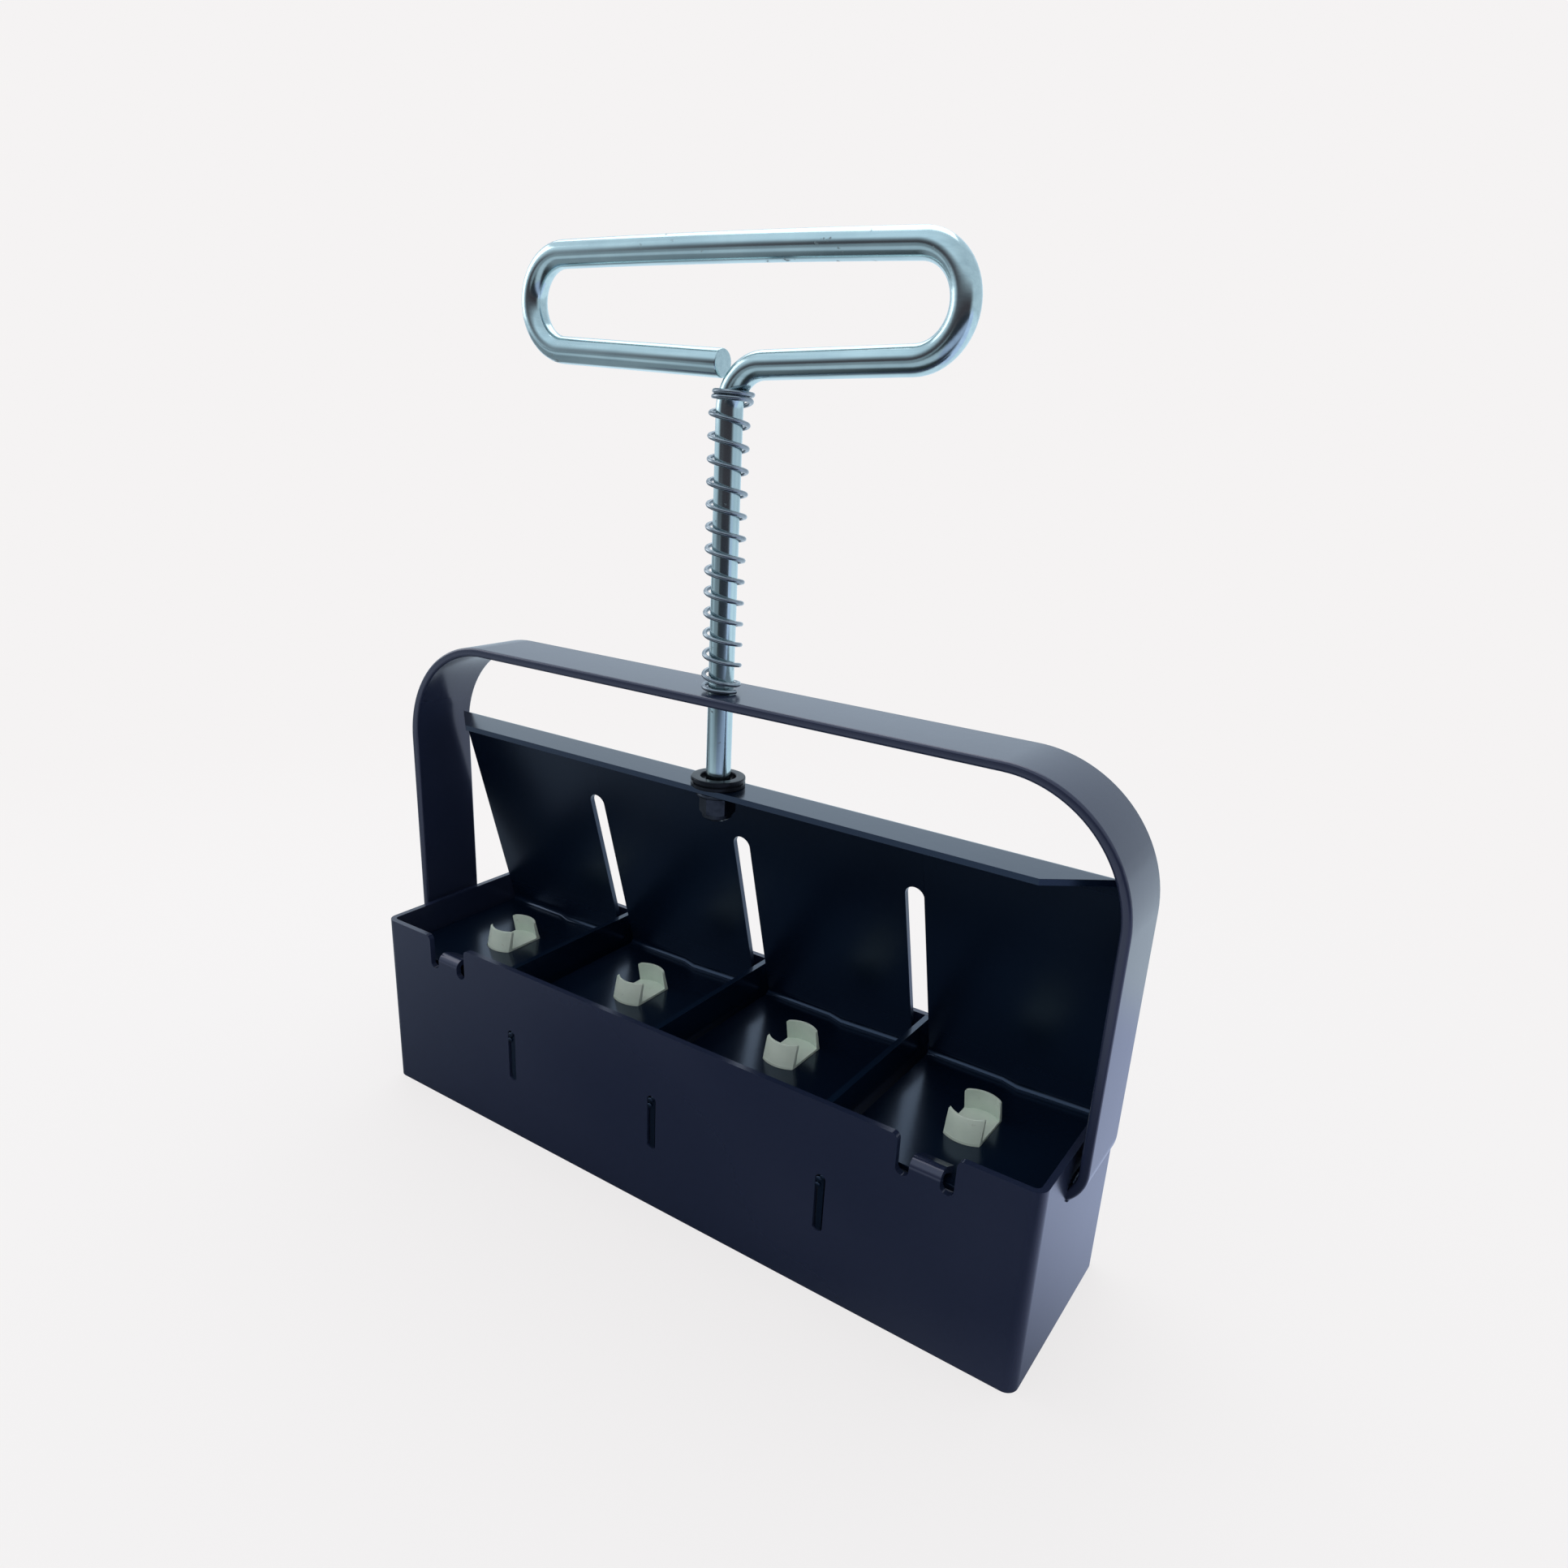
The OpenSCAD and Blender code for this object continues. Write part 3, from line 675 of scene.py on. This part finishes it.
def makeStrap():
    # one flat bar: up the left leg, over the top and down again, a curled foot at each end
    bm = bmesh.new()
    middle = strap["thick"] / 2
    footR, shoulderR = strap["footRound"] - middle, strap["shoulder"] - middle
    centre = Vector((-strap["outer"] + strap["footRound"], 0, strap["footZ"]))
    start = math.radians(180 + strap["footTurn"])
    spoke = Vector((math.cos(start), 0, math.sin(start)))
    leg = strap["top"] - strap["shoulder"] - strap["footZ"]
    span = 2 * (strap["outer"] - strap["shoulder"])
    foot = ("turn", footR, strap["footTurn"], strap["footCuts"])
    shoulder = ("turn", shoulderR, 90, strap["shoulderCuts"])
    upright = ("go", leg, strap["legCuts"])
    end = centre + spoke * footR
    sweep(bm, barSection(bm, end, spoke), end, back.cross(spoke), back,
          [foot, upright, shoulder, ("go", span, strap["spanCuts"]), shoulder, upright, foot])
    # the feet are drawn past the end walls, then cut flush with them
    wall = strap["wall"] + strap["wallGap"]
    for side in (-1, 1):
        sliceMesh(bm, (side * wall, 0, 0), (side, 0, 0))
    cut = [f for f in bm.faces
           if abs(f.calc_center_median().x) < wall and f.calc_center_median().z < strap["footZ"]]
    bmesh.ops.delete(bm, geom=cut, context="FACES")
    capHoles(bm)
    bar = makeObject(bm, "strapFrame")
    hole = bmesh.new()
    cylinder(hole, strap["holeRound"], strap["holeTool"], strap["holeSides"],
             (0, strap["rodY"], strap["top"] - middle))
    combine(bar, makeObject(hole, "rodHole"))
    tidyMesh(bar)
    smooth(bar, angle=40)
    place(bar, "mould", "black_paint", strapPaint, "strap_frame")


makeStrap()

weld = {"x": 104.5, "z": 45.95, "round": 0.86, "half": 8.4, "ripples": 13}
seam = {"x": 104.15, "z": 41.7, "round": 0.5, "half": 9.7, "ripples": 19}
stitch = {"sides": 16, "rippleCuts": 4, "swell": 0.20, "endSize": 0.3, "endRuns": 6}


def makeWeld(side, name, size, *node):
    # a stitched bead along y between foot and wall: its girth swells with every ripple
    bm = bmesh.new()
    half, ripples = size["half"], size["ripples"]
    section = circleSection(bm, size["round"], stitch["sides"], (0, -half, 0), upright=True)
    sweep(bm, section, (0, -half, 0), back, up, [("go", 2 * half, ripples * stitch["rippleCuts"])])
    for v in bm.verts:
        along = (v.co.y + half) / (2 * half)
        ripple = abs(math.sin(along * math.pi * ripples))
        ends = max(0.0, min(1.0, stitch["endRuns"] * along, stitch["endRuns"] * (1 - along))) ** 0.5
        girth = (1 - stitch["swell"] * (1 - ripple)) * (1 - (1 - stitch["endSize"]) * (1 - ends))
        v.co.x *= girth
        v.co.z *= girth
    capHoles(bm)
    bmesh.ops.translate(bm, vec=(side * size["x"], 0, size["z"]), verts=bm.verts)
    bead = makeObject(bm, name)
    smooth(bead, angle=60, weighted=False)
    place(bead, "mould", "black_paint", weldPaint, *node)


for side, name, node in ((-1, "Left", "strap_weld_left"), (1, "Right", "strap_weld_right")):
    makeWeld(side, "footWeld" + name, weld, node)
    makeWeld(side, "footSeam" + name, seam)
print("strap made")


# plunger plate

plate = {
    "half": 101.6, "sheet": 1.5, "top": 44.8, "front": -23.9, "footY": 22.3, "headY": 4.4,
    "underFlange": 111.2, "flangeFront": -7.2, "fold": 1.6, "footCuts": 12, "headCuts": 10,
    "slotWide": 5.2, "slotTop": 95.8, "slotBelow": 8, "flangeCut": 14.5,
    "toolReach": 30, "toolLow": 105, "toolHigh": 118,  # the tools that cut the slots and corners
    "pinFront": 1.0, "pinRound": 8.15, "pinHalf": 4.75, "pinTool": 6, "pinSides": 64,
    "dent": 1.5, "dentHigh": 9.0, "dentStart": 2.2, "dentMiddle": 12.0, "dentRun": 21.0,
    "dentDeep": 6, "edge": 0.38,
}


def dentFold(bm):
    # the press left the fold out of true: each cell's right half starts too far forward
    start, run = plate["dentStart"], plate["dentRun"]
    cuts = [((0, 0, plate["top"] + plate["dentHigh"]), up)]
    cuts += [((x + step, 0, 0), right) for x in cellXs
             for step in (-start - run, -start, start, plate["dentMiddle"], start + run)]
    for at, facing in cuts:
        sliceMesh(bm, at, facing)
    for v in bm.verts:
        x = min((v.co.x - cell for cell in cellXs), key=abs)
        low = max(0.0, min(1.0, 1 - (v.co.z - plate["top"]) / plate["dentHigh"]))
        if v.co.y > plate["footY"] - plate["dentDeep"] and x > -start + bench["near"]:
            v.co.y -= plate["dent"] * low * max(0.0, 1 - (x - start) / run)


def cornerTool(side):
    # a block with one upright face along the flange's slanted end
    tool = block("cornerTool", (0, -plate["toolReach"], plate["toolLow"]),
                 (plate["toolReach"], 0, plate["toolHigh"]))
    turn = math.atan2(plate["headY"] - plate["flangeFront"], plate["flangeCut"])
    corner = (side * (plate["half"] - plate["flangeCut"]) * mm, plate["flangeFront"] * mm, 0)
    tool.data.transform(Matrix.Translation(corner) @ Matrix.Scale(side, 4, right)
                        @ Matrix.Rotation(turn, 4, "Z"))
    if side < 0:
        tool.data.flip_normals()
    return tool


def makePlungerPlate():
    # one folded sheet: ejector plates, leaning web and flange, then the slots and holes
    lean = math.degrees(math.atan2(plate["footY"] - plate["headY"], plate["underFlange"] - plate["top"]))
    fold = plate["fold"]
    footRun = fold * math.tan(math.radians(45 + lean / 2))
    headRun = fold * math.tan(math.radians(45 - lean / 2))
    webRun = (plate["underFlange"] - plate["top"]) / math.cos(math.radians(lean)) - footRun - headRun
    bm = bmesh.new()
    start = Vector((0, plate["front"], plate["top"]))
    verts = [bm.verts.new(start + right * side * plate["half"]) for side in (-1, 1)]
    section = verts + [bm.edges.new(verts)]
    sweep(bm, section, start, back, right,
          [("go", plate["footY"] - footRun - plate["front"], 1),
           ("turn", fold, 90 + lean, plate["footCuts"]), ("go", webRun, 1),
           ("turn", fold, 90 - lean, plate["headCuts"]),
           ("go", plate["headY"] - headRun - plate["flangeFront"], 1)])
    dentFold(bm)
    thicken(bm, plate["sheet"], up)
    sheet = makeObject(bm, "plungerPlate")
    for x in dividerXs:
        combine(sheet, stadium("webSlot", plate["slotWide"], plate["top"] - plate["slotBelow"],
                               plate["slotTop"], -plate["toolReach"], plate["toolReach"], x))
    for side in (-1, 1):
        combine(sheet, cornerTool(side))
    for x in cellXs:
        combine(sheet, flatSidedPlug("pinHole", plate["pinRound"], plate["pinHalf"], plate["pinTool"],
                                     plate["pinSides"], (x, -plate["pinFront"], plate["top"])))
    tidyMesh(sheet)
    roundEdges(sheet, plate["edge"])
    smooth(sheet)
    place(sheet, "plunger", "black_paint", platePaint, "plunger_plate")


makePlungerPlate()
print("plunger plate made")


# handle rod and spring

rod = {
    "round": 3.1, "sides": 28, "y": strap["rodY"], "foot": plate["underFlange"] + plate["sheet"],
    "stemCuts": 12, "neckZ": 200.3, "neckBend": 9.4, "neckCuts": 16, "gripBend": 10.4, "gripCuts": 30,
    "rightBar": 36.2, "rightCuts": 8, "topBar": 95.0, "topCuts": 20, "leftBar": 48.25, "leftCuts": 10,
    "riseRight": 2.0, "riseLeft": 2.8, "tilt": 0.8, "crown": 1.6, "edge": 0.3,
    "stud": 2.5, "studFoot": 103.6, "studGap": 0.05, "studEdge": 0.5, "studSides": 32,
}


def makeRod():
    # one bent bar: up, over the neck, round the right end, back along the bowed top and home
    bm = bmesh.new()
    start = Vector((0, rod["y"], rod["foot"]))
    section = circleSection(bm, rod["round"], rod["sides"], start)
    rise, fall, tilt, bow = rod["riseRight"], rod["riseLeft"], rod["tilt"], rod["crown"]
    grip, gripCuts = rod["gripBend"], rod["gripCuts"]
    sweep(bm, section, start, up, back,
          [("go", rod["neckZ"] - rod["foot"], rod["stemCuts"]),
           ("turn", rod["neckBend"], 90 - rise, rod["neckCuts"]), ("go", rod["rightBar"], rod["rightCuts"]),
           ("turn", grip, -(180 - rise - tilt - bow / 2), gripCuts),
           ("turn", rod["topBar"] / math.radians(bow), -bow, rod["topCuts"]),
           ("turn", grip, -(180 + tilt - fall - bow / 2), gripCuts),
           ("go", rod["leftBar"], rod["leftCuts"])])
    capHoles(bm)
    ends = [e for e in bm.edges if any(len(f.verts) > 4 for f in e.link_faces)]
    bevel(bm, ends, rod["edge"], segments=2)
    bar = makeObject(bm, "handleRod")
    smooth(bar, angle=50)
    place(bar, "plunger", "zinc_plate", gripZinc, "handle_rod")


def makeStud():
    foot, top, r = rod["studFoot"], rod["foot"] - rod["studGap"], rod["stud"]
    axis, edge = bench["axis"], rod["studEdge"]
    stud = turned("rodStud", [(axis, foot), (r - edge, foot), (r, foot + edge), (r, top), (axis, top)],
                  (0, rod["y"]), rod["studSides"])
    smooth(stud)
    place(stud, "plunger", "zinc_plate", studZinc)


makeRod()
makeStud()
print("rod made")

spring = {
    "coil": 4.3, "wire": 0.545, "sides": 10, "cuts": 28, "foot": 137.1, "head": 204.4,
    "closeTurns": 1.0, "closePitch": 1.6, "topTurns": 1.6, "topPitch": 1.1, "openTurns": 13.0,
    "drift": 1.1, "driftRun": 5.5,
}


def makeSpring():
    # a left-handed coil: a close turn on the strap, open turns, and close turns under the neck
    bm = bmesh.new()
    section = circleSection(bm, spring["wire"], spring["sides"],
                            (spring["coil"], rod["y"], spring["foot"]), upright=True)
    rise = (spring["head"] - spring["foot"] - spring["closeTurns"] * spring["closePitch"]
            - spring["topTurns"] * spring["topPitch"])
    for turns, pitch in ((spring["closeTurns"], spring["closePitch"]),
                         (spring["openTurns"], rise / spring["openTurns"]),
                         (spring["topTurns"], spring["topPitch"])):
        cuts = round(turns * spring["cuts"])
        section = bmesh.ops.spin(bm, geom=section, cent=(0, rod["y"], 0), axis=up,
                                 angle=-math.radians(360 * turns), steps=cuts,
                                 dvec=(0, 0, turns * pitch / cuts))["geom_last"]
    capHoles(bm)
    for v in bm.verts:  # the neck pushes the top coils to the right
        v.co.x += spring["drift"] * max(0.0, 1 - (spring["head"] - v.co.z) / spring["driftRun"])
    coil = makeObject(bm, "returnSpring")
    smooth(coil, angle=60, weighted=False)
    place(coil, "mould", "spring_steel", springSteel, "return_spring")
    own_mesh(coil)


makeSpring()
print("spring made")


# collar, washer and nut

ring = {
    "bore": 3.15, "outer": 6.85, "high": 2.5, "cup": 4.45, "cupDeep": 1.0,
    "groove": 0.5, "grooveMouth": 0.35, "grooveFloor": 0.1, "soft": 0.28, "softShare": 0.3, "sides": 56,
}


def makeCollar():
    # each rim is rounded by soft, through one point near the corner; a groove runs round the middle
    base, top, mid = rod["foot"], rod["foot"] + ring["high"], rod["foot"] + ring["high"] / 2
    soft, corner = ring["soft"], ring["softShare"] * ring["soft"]
    outer, cup, bore, groove = ring["outer"], ring["cup"], ring["bore"], ring["outer"] - ring["groove"]
    mouth, floor = ring["grooveMouth"], ring["grooveFloor"]
    rims = [(bore, base), (outer - soft, base), (outer - corner, base + corner), (outer, base + soft),
            (outer, mid - mouth), (groove, mid - floor), (groove, mid + floor), (outer, mid + mouth),
            (outer, top - soft), (outer - corner, top - corner), (outer - soft, top),
            (cup + soft, top), (cup + corner, top - corner), (cup, top - soft),
            (cup, top - ring["cupDeep"]), (bore, top - ring["cupDeep"])]
    collar = turned("stopCollar", rims, (0, rod["y"]), ring["sides"])
    smooth(collar, angle=50)
    place(collar, "plunger", "collar_black", collarBlack, "stop_collar")


nut = {
    "across": 8.0, "high": 6.0, "bore": 2.55, "collar": 1.3, "insertIn": 0.25,
    "insertEdge": 0.5, "insertRise": 0.4, "insertLap": 0.13, "turnDown": 0.42, "spare": 0.05, "lap": 0.01,
    "washer": 5.5, "washerThick": 1.0, "washerEdge": 0.25, "sides": 48, "turnedSides": 60,
}


def makeWasher():
    top, r, bore, edge = plate["underFlange"], nut["washer"], nut["bore"], nut["washerEdge"]
    low = top - nut["washerThick"]
    washer = turned("flangeWasher", [(bore, low), (r - edge, low), (r, low + edge), (r, top - edge),
                                     (r - edge, top), (bore, top)], (0, rod["y"]), nut["sides"])
    smooth(washer, angle=50)
    place(washer, "plunger", "dark_hardware", nutSteel, "flange_washer")


def makeNut():
    # a hexagon whose corners are turned down at both ends, with a round insert collar below
    axis, lap, body = bench["axis"], nut["lap"], nut["high"] - nut["collar"]
    top = plate["underFlange"] - nut["washerThick"]
    foot, low = top - nut["high"], top - body
    flat, point = nut["across"] / 2, nut["across"] / math.sqrt(3)
    bm = bmesh.new()
    cylinder(bm, point, body, 6, (0, rod["y"], top - body / 2))
    hexagon = makeObject(bm, "lockNut")
    inner, outer = flat - nut["spare"], point + nut["spare"]
    envelope = [(axis, low - lap), (inner, low - lap), (outer, low + nut["turnDown"]),
                (outer, top - nut["turnDown"]), (inner, top + lap), (axis, top + lap)]
    combine(hexagon, turned("turnedCorners", envelope, (0, rod["y"]), nut["turnedSides"]), "INTERSECT")
    side, bore = flat - nut["insertIn"], nut["bore"]
    insert = [(bore, foot), (side - nut["insertEdge"], foot), (side, foot + nut["insertRise"]),
              (side + nut["insertLap"], low + 2 * lap), (bore, low + 2 * lap)]
    combine(hexagon, turned("nutInsert", insert, (0, rod["y"]), nut["sides"]), "UNION")
    tidyMesh(hexagon)
    smooth(hexagon, angle=30)
    place(hexagon, "plunger", "dark_hardware", nutSteel, "lock_nut")


makeCollar()
makeWasher()
makeNut()
print("collar, washer and nut made")


# dibble pins

pin = {
    "round": 8.0, "tipRound": 6.6, "wall": 1.1, "tipWall": 0.55, "high": 6.0,
    "half": 4.6, "sunk": 0.5, "cornerRound": 0.5, "edge": 0.10, "sides": 72,
    "plugIn": 0.15, "floorUp": 0.5,
    "disc": 10.0, "discThick": 1.6, "discFoot": 0.4, "discTop": 0.2, "discSides": 56,
    "dibbleRound": 4.0, "dibbleTip": 3.2, "dibbleLong": 8.0, "dibbleRoot": 0.5, "noseStep": 15,
}


def makeProngs(x, name):
    # a tapered tube, sliced by two planes; each side that is left becomes a solid prong
    bm = bmesh.new()
    foot, top = plate["top"] - pin["sunk"], plate["top"] + pin["high"]
    r, tip = pin["round"], pin["tipRound"]
    spinProfile(bm, [(r, foot), (tip, top), (tip - pin["tipWall"], top), (r - pin["wall"], foot)],
                (x, -plate["pinFront"]), pin["sides"])
    for side in (-1, 1):
        sliceMesh(bm, (x + side * pin["half"], 0, 0), (side, 0, 0), dropFront=True)
    capHoles(bm)
    near = bench["near"]
    tips = [e for e in bm.edges
            if all(abs(v.co.z - top) < near and abs(abs(v.co.x - x) - pin["half"]) < near for v in e.verts)]
    bevel(bm, tips, pin["cornerRound"], segments=4)
    prongs = makeObject(bm, name)
    roundEdges(prongs, pin["edge"], segments=2)
    return prongs


def dibble(centre):
    # the disc under the plate and the round-nosed dibble below it
    axis, tip, disc, root = bench["axis"], pin["dibbleTip"], pin["disc"], pin["dibbleRoot"]
    under = plate["top"] - plate["sheet"]
    low = under - pin["discThick"]
    foot = low - pin["dibbleLong"]
    nose = [(axis, foot)]
    nose += [(tip * math.sin(math.radians(a)), foot + tip - tip * math.cos(math.radians(a)))
             for a in range(pin["noseStep"], 91, pin["noseStep"])]
    rest = [(pin["dibbleRound"], low - root), (pin["dibbleRound"] + root, low),
            (disc - pin["discFoot"], low), (disc, low + pin["discFoot"]),
            (disc, under - pin["discTop"]), (disc - pin["discTop"], under), (axis, under)]
    return turned("shank", nose + rest, centre, pin["discSides"])


def makePin(x, name, node):
    centre = (x, -plate["pinFront"])
    prongs = makeProngs(x, name)
    thick = plate["sheet"] + pin["floorUp"]
    middle = plate["top"] + pin["floorUp"] - thick / 2
    combine(prongs, flatSidedPlug("plug", pin["round"] - pin["plugIn"], pin["half"], thick, pin["sides"],
                                  (*centre, middle)), "UNION")
    combine(prongs, dibble(centre), "UNION")
    tidyMesh(prongs)
    smooth(prongs, angle=38)
    place(prongs, "plunger", "pin_plastic", pinCream, node)


for i, x in enumerate(cellXs):
    makePin(x, "dibblePin%d" % (i + 1), "dibble_pin_%d" % (i + 1))
print("pins made")


# studio, in metres

studio = {
    "paper": (0.913, 0.896, 0.896), "matt": (0.80, 0.80, 0.81), "floorSize": 4.0, "floorSides": 64,
    "shade": 0.18, "shadeRun": (0.12, 0.55),  # the paper's share of shadow, and where it fades out
    "skyTint": (0.74, 0.88, 1.0), "rightTint": (0.60, 0.70, 0.97), "roomTint": (0.040, 0.024, 0.030),
    "rightFrom": (0.07, 0.11), "rightTo": (0.14, 0.20),
    "softTint": (0.97, 0.99, 1.0), "softSky": 1.0, "softFront": 0.55, "softBack": (-0.5, 0.6),
    "softUp": (0.2, 0.9),
}
mirrorFloor = {
    "ahead": 0.2, "ringRise": (0.10, 0.20), "ringFall": (0.32, 0.60), "ringGlow": 0.75,
    "behindX": 0.3, "behindY": 0.9, "behind": (-0.03, 0.09), "behindGlow": 1.15,
    "left": (0.04, 0.24), "leftGlow": 0.34, "least": 0.05,
}
mirrorAir = {
    "glow": 1.20, "rightDim": 0.35, "right": (-0.6, 0.5), "leftDim": 0.28, "left": (0.40, 0.80),
    "gapX": 0.20, "gapY": 0.98, "gap": (0.30, 0.72), "gapDim": 0.97, "gapHeight": 4.0,
}


def litPaper(x, y):
    # what polished parts see of the floor: bright behind, a dark patch close in front,
    # a bright ring round that, and dim again far out where the room ends
    look = mirrorFloor
    ahead = x * look["ahead"] - y
    ring = ahead.between(*look["ringRise"]) * (1 - ahead.between(*look["ringFall"]))
    behind = (y * look["behindY"] + x * look["behindX"]).between(*look["behind"])
    left = (x * -1).between(*look["left"]) * look["leftGlow"]
    return (behind * look["behindGlow"]).bigger(ring * look["ringGlow"]).bigger(left + look["least"])


def makeFloor():
    bm = bmesh.new()
    bmesh.ops.create_circle(bm, cap_ends=True, radius=studio["floorSize"] / mm / 2,
                            segments=studio["floorSides"])
    floor = makeObject(bm, "studioFloor")
    if floor.data.polygons[0].normal.z < 0:
        floor.data.flip_normals()
    s = Shader("studio paper")
    x, y, z = s.axes()
    reach = s.node("ShaderNodeVectorMath", {0: s.here}, out="Value", operation="LENGTH")
    seen, mirrored = s.rays()
    paper = s.node("ShaderNodeEmission", {"Color": studio["paper"], "Strength": 1.0})
    rightward = x.between(*studio["rightFrom"]) * (1 - y.between(*studio["rightTo"]))
    tint = s.blend(rightward, studio["skyTint"], studio["rightTint"])
    glossy = s.node("ShaderNodeEmission", {"Color": s.blend(litPaper(x, y), black, tint), "Strength": 1.0})
    matt = s.node("ShaderNodeBsdfDiffuse", {"Color": studio["matt"]})
    share = seen * (1.0 - studio["shade"] * (1 - reach.between(*studio["shadeRun"])))
    surface = s.mixed(share, matt, paper)
    s.toOutput(s.mixed(mirrored, surface, glossy))
    floor.data.materials.append(s.material)


def makeWorld():
    # white to look at; polished parts see bright air behind and above, a dark gap round the camera
    world = bpy.data.worlds.new("studio air")
    bpy.context.scene.world = world
    world.use_nodes = True
    s = Shader.forTree(world.node_tree, "Generated")
    x, y, z = s.axes()
    seen, mirrored = s.rays()
    look = mirrorAir
    facing = x * look["gapX"] - y * look["gapY"]
    level = (z * z * -look["gapHeight"] + 1).bigger(0.0)
    gap = facing.between(*look["gap"]) * level
    rightSide = x.between(*look["right"])
    leftBack = (x * -1).between(*look["left"])
    air = (look["glow"] - rightSide * look["rightDim"] - leftBack * look["leftDim"]) * (
        1 - gap * look["gapDim"])
    above = y.between(*studio["softBack"]).bigger(z.between(*studio["softUp"]))
    soft = studio["softFront"] + above * (studio["softSky"] - studio["softFront"])
    colours = (studio["paper"], s.blend(air, studio["roomTint"], studio["skyTint"]),
               s.blend(soft, black, studio["softTint"]))
    white, glossy, light = (s.node("ShaderNodeBackground", {"Color": colour, "Strength": 1.0})
                            for colour in colours)
    surface = s.mixed(mirrored, s.mixed(seen, light, white), glossy)
    s.toOutput(surface, "ShaderNodeOutputWorld")


lamps = {
    "top soft box": {"spot": (-0.25, 0.30, 0.85), "target": (0, 0, 0.1), "size": 0.7, "power": 2.2},
    "left soft box": {"spot": (-0.75, -0.10, 0.45), "target": (0, 0, 0.12), "size": 0.5, "power": 1.1},
}


def addLamp(name, spot, target, size, power):
    data = bpy.data.lights.new(name, "AREA")
    data.shape = "RECTANGLE"
    data.size = data.size_y = size
    data.energy = power
    lamp = bpy.data.objects.new(name, data)
    bpy.context.scene.collection.objects.link(lamp)
    lamp.location = spot
    lamp.rotation_mode = "QUATERNION"
    lamp.rotation_quaternion = (Vector(spot) - Vector(target)).to_track_quat("Z", "Y")


# solved from the photograph's straight edges; shifts are shares of the picture's width
camera = {
    "settings": {"sensor_width": 36, "lens": 24.82, "shift_x": -0.0046, "shift_y": 0.0295,
                 "clip_start": 0.01, "clip_end": 50},
    "spot": (0.15508, -0.20923, 0.19546), "view": (-0.5065, 0.7917, -0.3415),
    "side": (0.8308, 0.5541, 0.0526),
}


def makeCamera():
    data = bpy.data.cameras.new("camera")
    for name, value in camera["settings"].items():
        setattr(data, name, value)
    made = bpy.data.objects.new("camera", data)
    bpy.context.scene.collection.objects.link(made)
    view = Vector(camera["view"]).normalized()
    side = Vector(camera["side"]).normalized()
    made.matrix_world = Matrix.Translation(camera["spot"]) @ Matrix(
        (side, side.cross(view), -view)).transposed().to_4x4()
    bpy.context.scene.camera = made


makeFloor()
makeWorld()
for name, lamp in lamps.items():
    addLamp(name, **lamp)
makeCamera()
bpy.context.scene.view_settings.view_transform = "Standard"
print("studio made")
